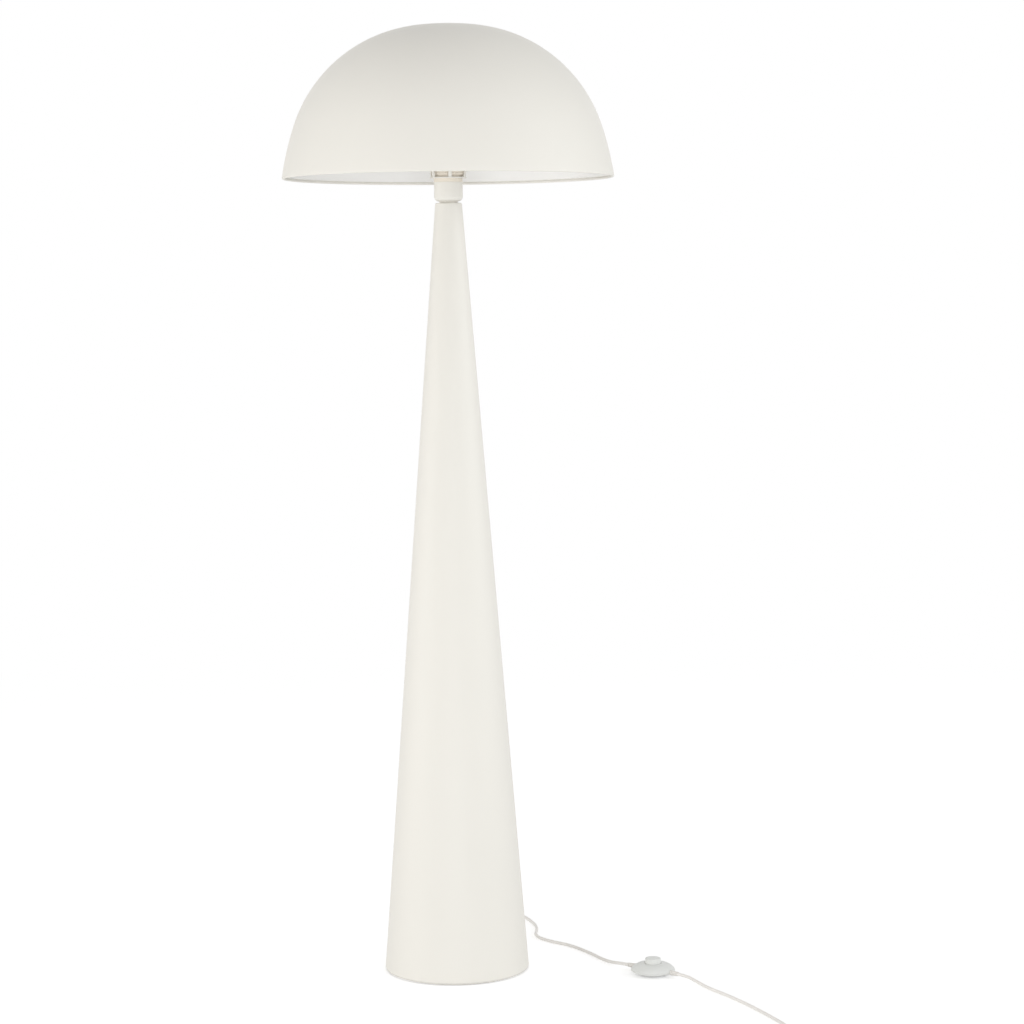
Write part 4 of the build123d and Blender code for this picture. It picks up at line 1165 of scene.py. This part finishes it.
class LAMP_OT_stage(bpy.types.Operator):
    """Set the camera, the floor and the soft lights"""

    bl_idname = "lamp.stage"
    bl_label = "Stage"

    def execute(self, context):
        self.add_camera(context)
        colours = context.scene.lamp_finishes
        self.add_floor(tuple(colours.backdrop), colours.room_light)
        self.add_world(context, colours.room_light)
        for facts in SOFT_LIGHTS:
            self.add_light(*facts)
        context.scene.view_settings.view_transform = "Standard"
        return {"FINISHED"}

    def add_camera(self, context):
        """A long lens in front of the lamp, a little above its middle, tipped down and rolled."""
        data = bpy.data.cameras.new("camera")
        data.sensor_width = 36.0
        data.lens = LENS
        data.clip_end = 200.0
        camera = added("camera", data)
        right, down, roll = CAMERA_TURN
        aim = turn(-right, "Z") @ turn(90 - down, "X") @ turn(roll, "Z")
        camera.matrix_world = shift(*CAMERA_PLACE) @ aim
        context.scene.camera = camera

    def add_floor(self, colour, room_light):
        """A wide floor that keeps the lamp's shadow and fades to plain white far out."""
        bm = bmesh.new()
        bmesh.ops.create_circle(bm, cap_ends=True, radius=FLOOR_R, segments=96)
        bmesh.ops.translate(bm, verts=bm.verts, vec=(0, 0, FLOOR_Z))
        floor = added("floor", mesh_of("floor", bm))
        material, tree, shader = surface("floor", colour, 0.9, {"Specular IOR Level": 0.0})
        lit, seen = shader.outputs["BSDF"], self.seen_rays(tree)
        lifted = node(tree, "AddShader", "Shader", wires={0: lit, 1: self.glow(tree, FLOOR_GLOW)})
        near = self.mixed(tree, seen, lit, lifted)
        far = self.mixed(tree, seen, lit, self.glow(tree, 1.0))
        place_in = node(tree, "TexCoord", "Object")
        reach = node(tree, "VectorMath", "Value", wires={0: place_in}, operation="LENGTH")
        limits = {"From Min": FADE_FROM, "From Max": FADE_TO}
        fade = node(tree, "MapRange", "Result", limits, {"Value": reach})
        above = self.mixed(tree, fade, near, far)
        above = self.mixed(tree, self.touching_rays(tree), above, self.glow(tree, room_light))
        clear = node(tree, "BsdfTransparent", "BSDF")
        one_sided = self.mixed(tree, node(tree, "NewGeometry", "Backfacing"), above, clear)
        tree.links.new(one_sided, tree.nodes["Material Output"].inputs["Surface"])
        floor.data.materials.append(material)

    def glow(self, tree, strength):
        """Plain white light."""
        return node(tree, "Emission", "Emission", {"Strength": strength})

    def mixed(self, tree, amount, first, second):
        """Two shaders mixed."""
        return node(tree, "MixShader", "Shader", wires={0: amount, 1: first, 2: second})

    def touching_rays(self, tree):
        """One for light that leaves a face lying on the floor, so the underside isn't black."""
        rays = tree.nodes.new("ShaderNodeLightPath").outputs
        near = {0: rays["Ray Length"]}
        short = node(tree, "Math", "Value", {1: CONTACT}, near, operation="LESS_THAN")
        both = {0: short, 1: rays["Is Diffuse Ray"]}
        return node(tree, "Math", "Value", wires=both, operation="MULTIPLY")

    def seen_rays(self, tree):
        """One for rays that show the backdrop itself: camera, glossy and transmission rays."""
        rays = tree.nodes.new("ShaderNodeLightPath").outputs
        total = rays["Is Camera Ray"]
        for ray in ("Is Glossy Ray", "Is Transmission Ray"):
            either = {0: total, 1: rays[ray]}
            total = node(tree, "Math", "Value", wires=either, operation="MAXIMUM")
        return total

    def add_world(self, context, strength):
        """Even light from all sides, and white where the background shows."""
        world = bpy.data.worlds.new("room")
        world.use_nodes = True
        tree = world.node_tree
        background = tree.nodes["Background"]
        background.inputs["Color"].default_value = (1, 1, 1, 1)
        limits = {"To Min": strength, "To Max": 1.0}
        level = node(tree, "MapRange", "Result", limits, {"Value": self.seen_rays(tree)})
        tree.links.new(level, background.inputs["Strength"])
        context.scene.world = world

    def add_light(self, name, where, aim_z, sides, power, colour):
        """A wide soft light that faces the lamp."""
        data = bpy.data.lights.new(name, "AREA")
        data.shape = "RECTANGLE"
        data.size, data.size_y = sides
        data.energy = power
        data.color = colour
        light = added(name, data)
        light.location = where
        light.rotation_mode = "QUATERNION"
        aim = Vector((0, 0, aim_z)) - light.location
        light.rotation_quaternion = aim.to_track_quat("-Z", "Y")
        light.visible_camera = False


class LAMP_PT_panel(bpy.types.Panel):
    """The lamp's pieces, sizes and finishes"""

    bl_label = "Mushroom Lamp"
    bl_idname = "LAMP_PT_panel"
    bl_space_type = "VIEW_3D"
    bl_region_type = "UI"
    bl_category = "Lamp"

    def draw(self, context):
        for group in (context.scene.lamp_sizes, context.scene.lamp_finishes):
            for key in group.__annotations__:
                self.layout.prop(group, key)
        for operator in OPERATORS:
            self.layout.operator(operator.bl_idname)


OPERATORS = (
    LAMP_OT_stage,
    LAMP_OT_column,
    LAMP_OT_cup,
    LAMP_OT_collar,
    LAMP_OT_shade_ring,
    LAMP_OT_carrier,
    LAMP_OT_studs,
    LAMP_OT_dome,
    LAMP_OT_bulb,
    LAMP_OT_switch,
    LAMP_OT_bush,
    LAMP_OT_plug,
    LAMP_OT_cords,
)
CLASSES = (LAMP_Sizes, LAMP_Finishes, *OPERATORS, LAMP_PT_panel)


def register():
    """Adds the lamp's classes and the properties that the scene keeps."""
    for cls in CLASSES:
        bpy.utils.register_class(cls)
    bpy.types.Scene.lamp_sizes = bpy.props.PointerProperty(type=LAMP_Sizes)
    bpy.types.Scene.lamp_finishes = bpy.props.PointerProperty(type=LAMP_Finishes)


def unregister():
    """Takes them away again."""
    del bpy.types.Scene.lamp_finishes, bpy.types.Scene.lamp_sizes
    for cls in reversed(CLASSES):
        bpy.utils.unregister_class(cls)


def main():
    """Builds every piece in order."""
    register()
    make_finishes(bpy.context.scene.lamp_finishes)
    dress_nodes()
    for operator in OPERATORS:
        getattr(bpy.ops.lamp, operator.bl_idname.split(".")[1])()


if __name__ == "__main__":
    main()
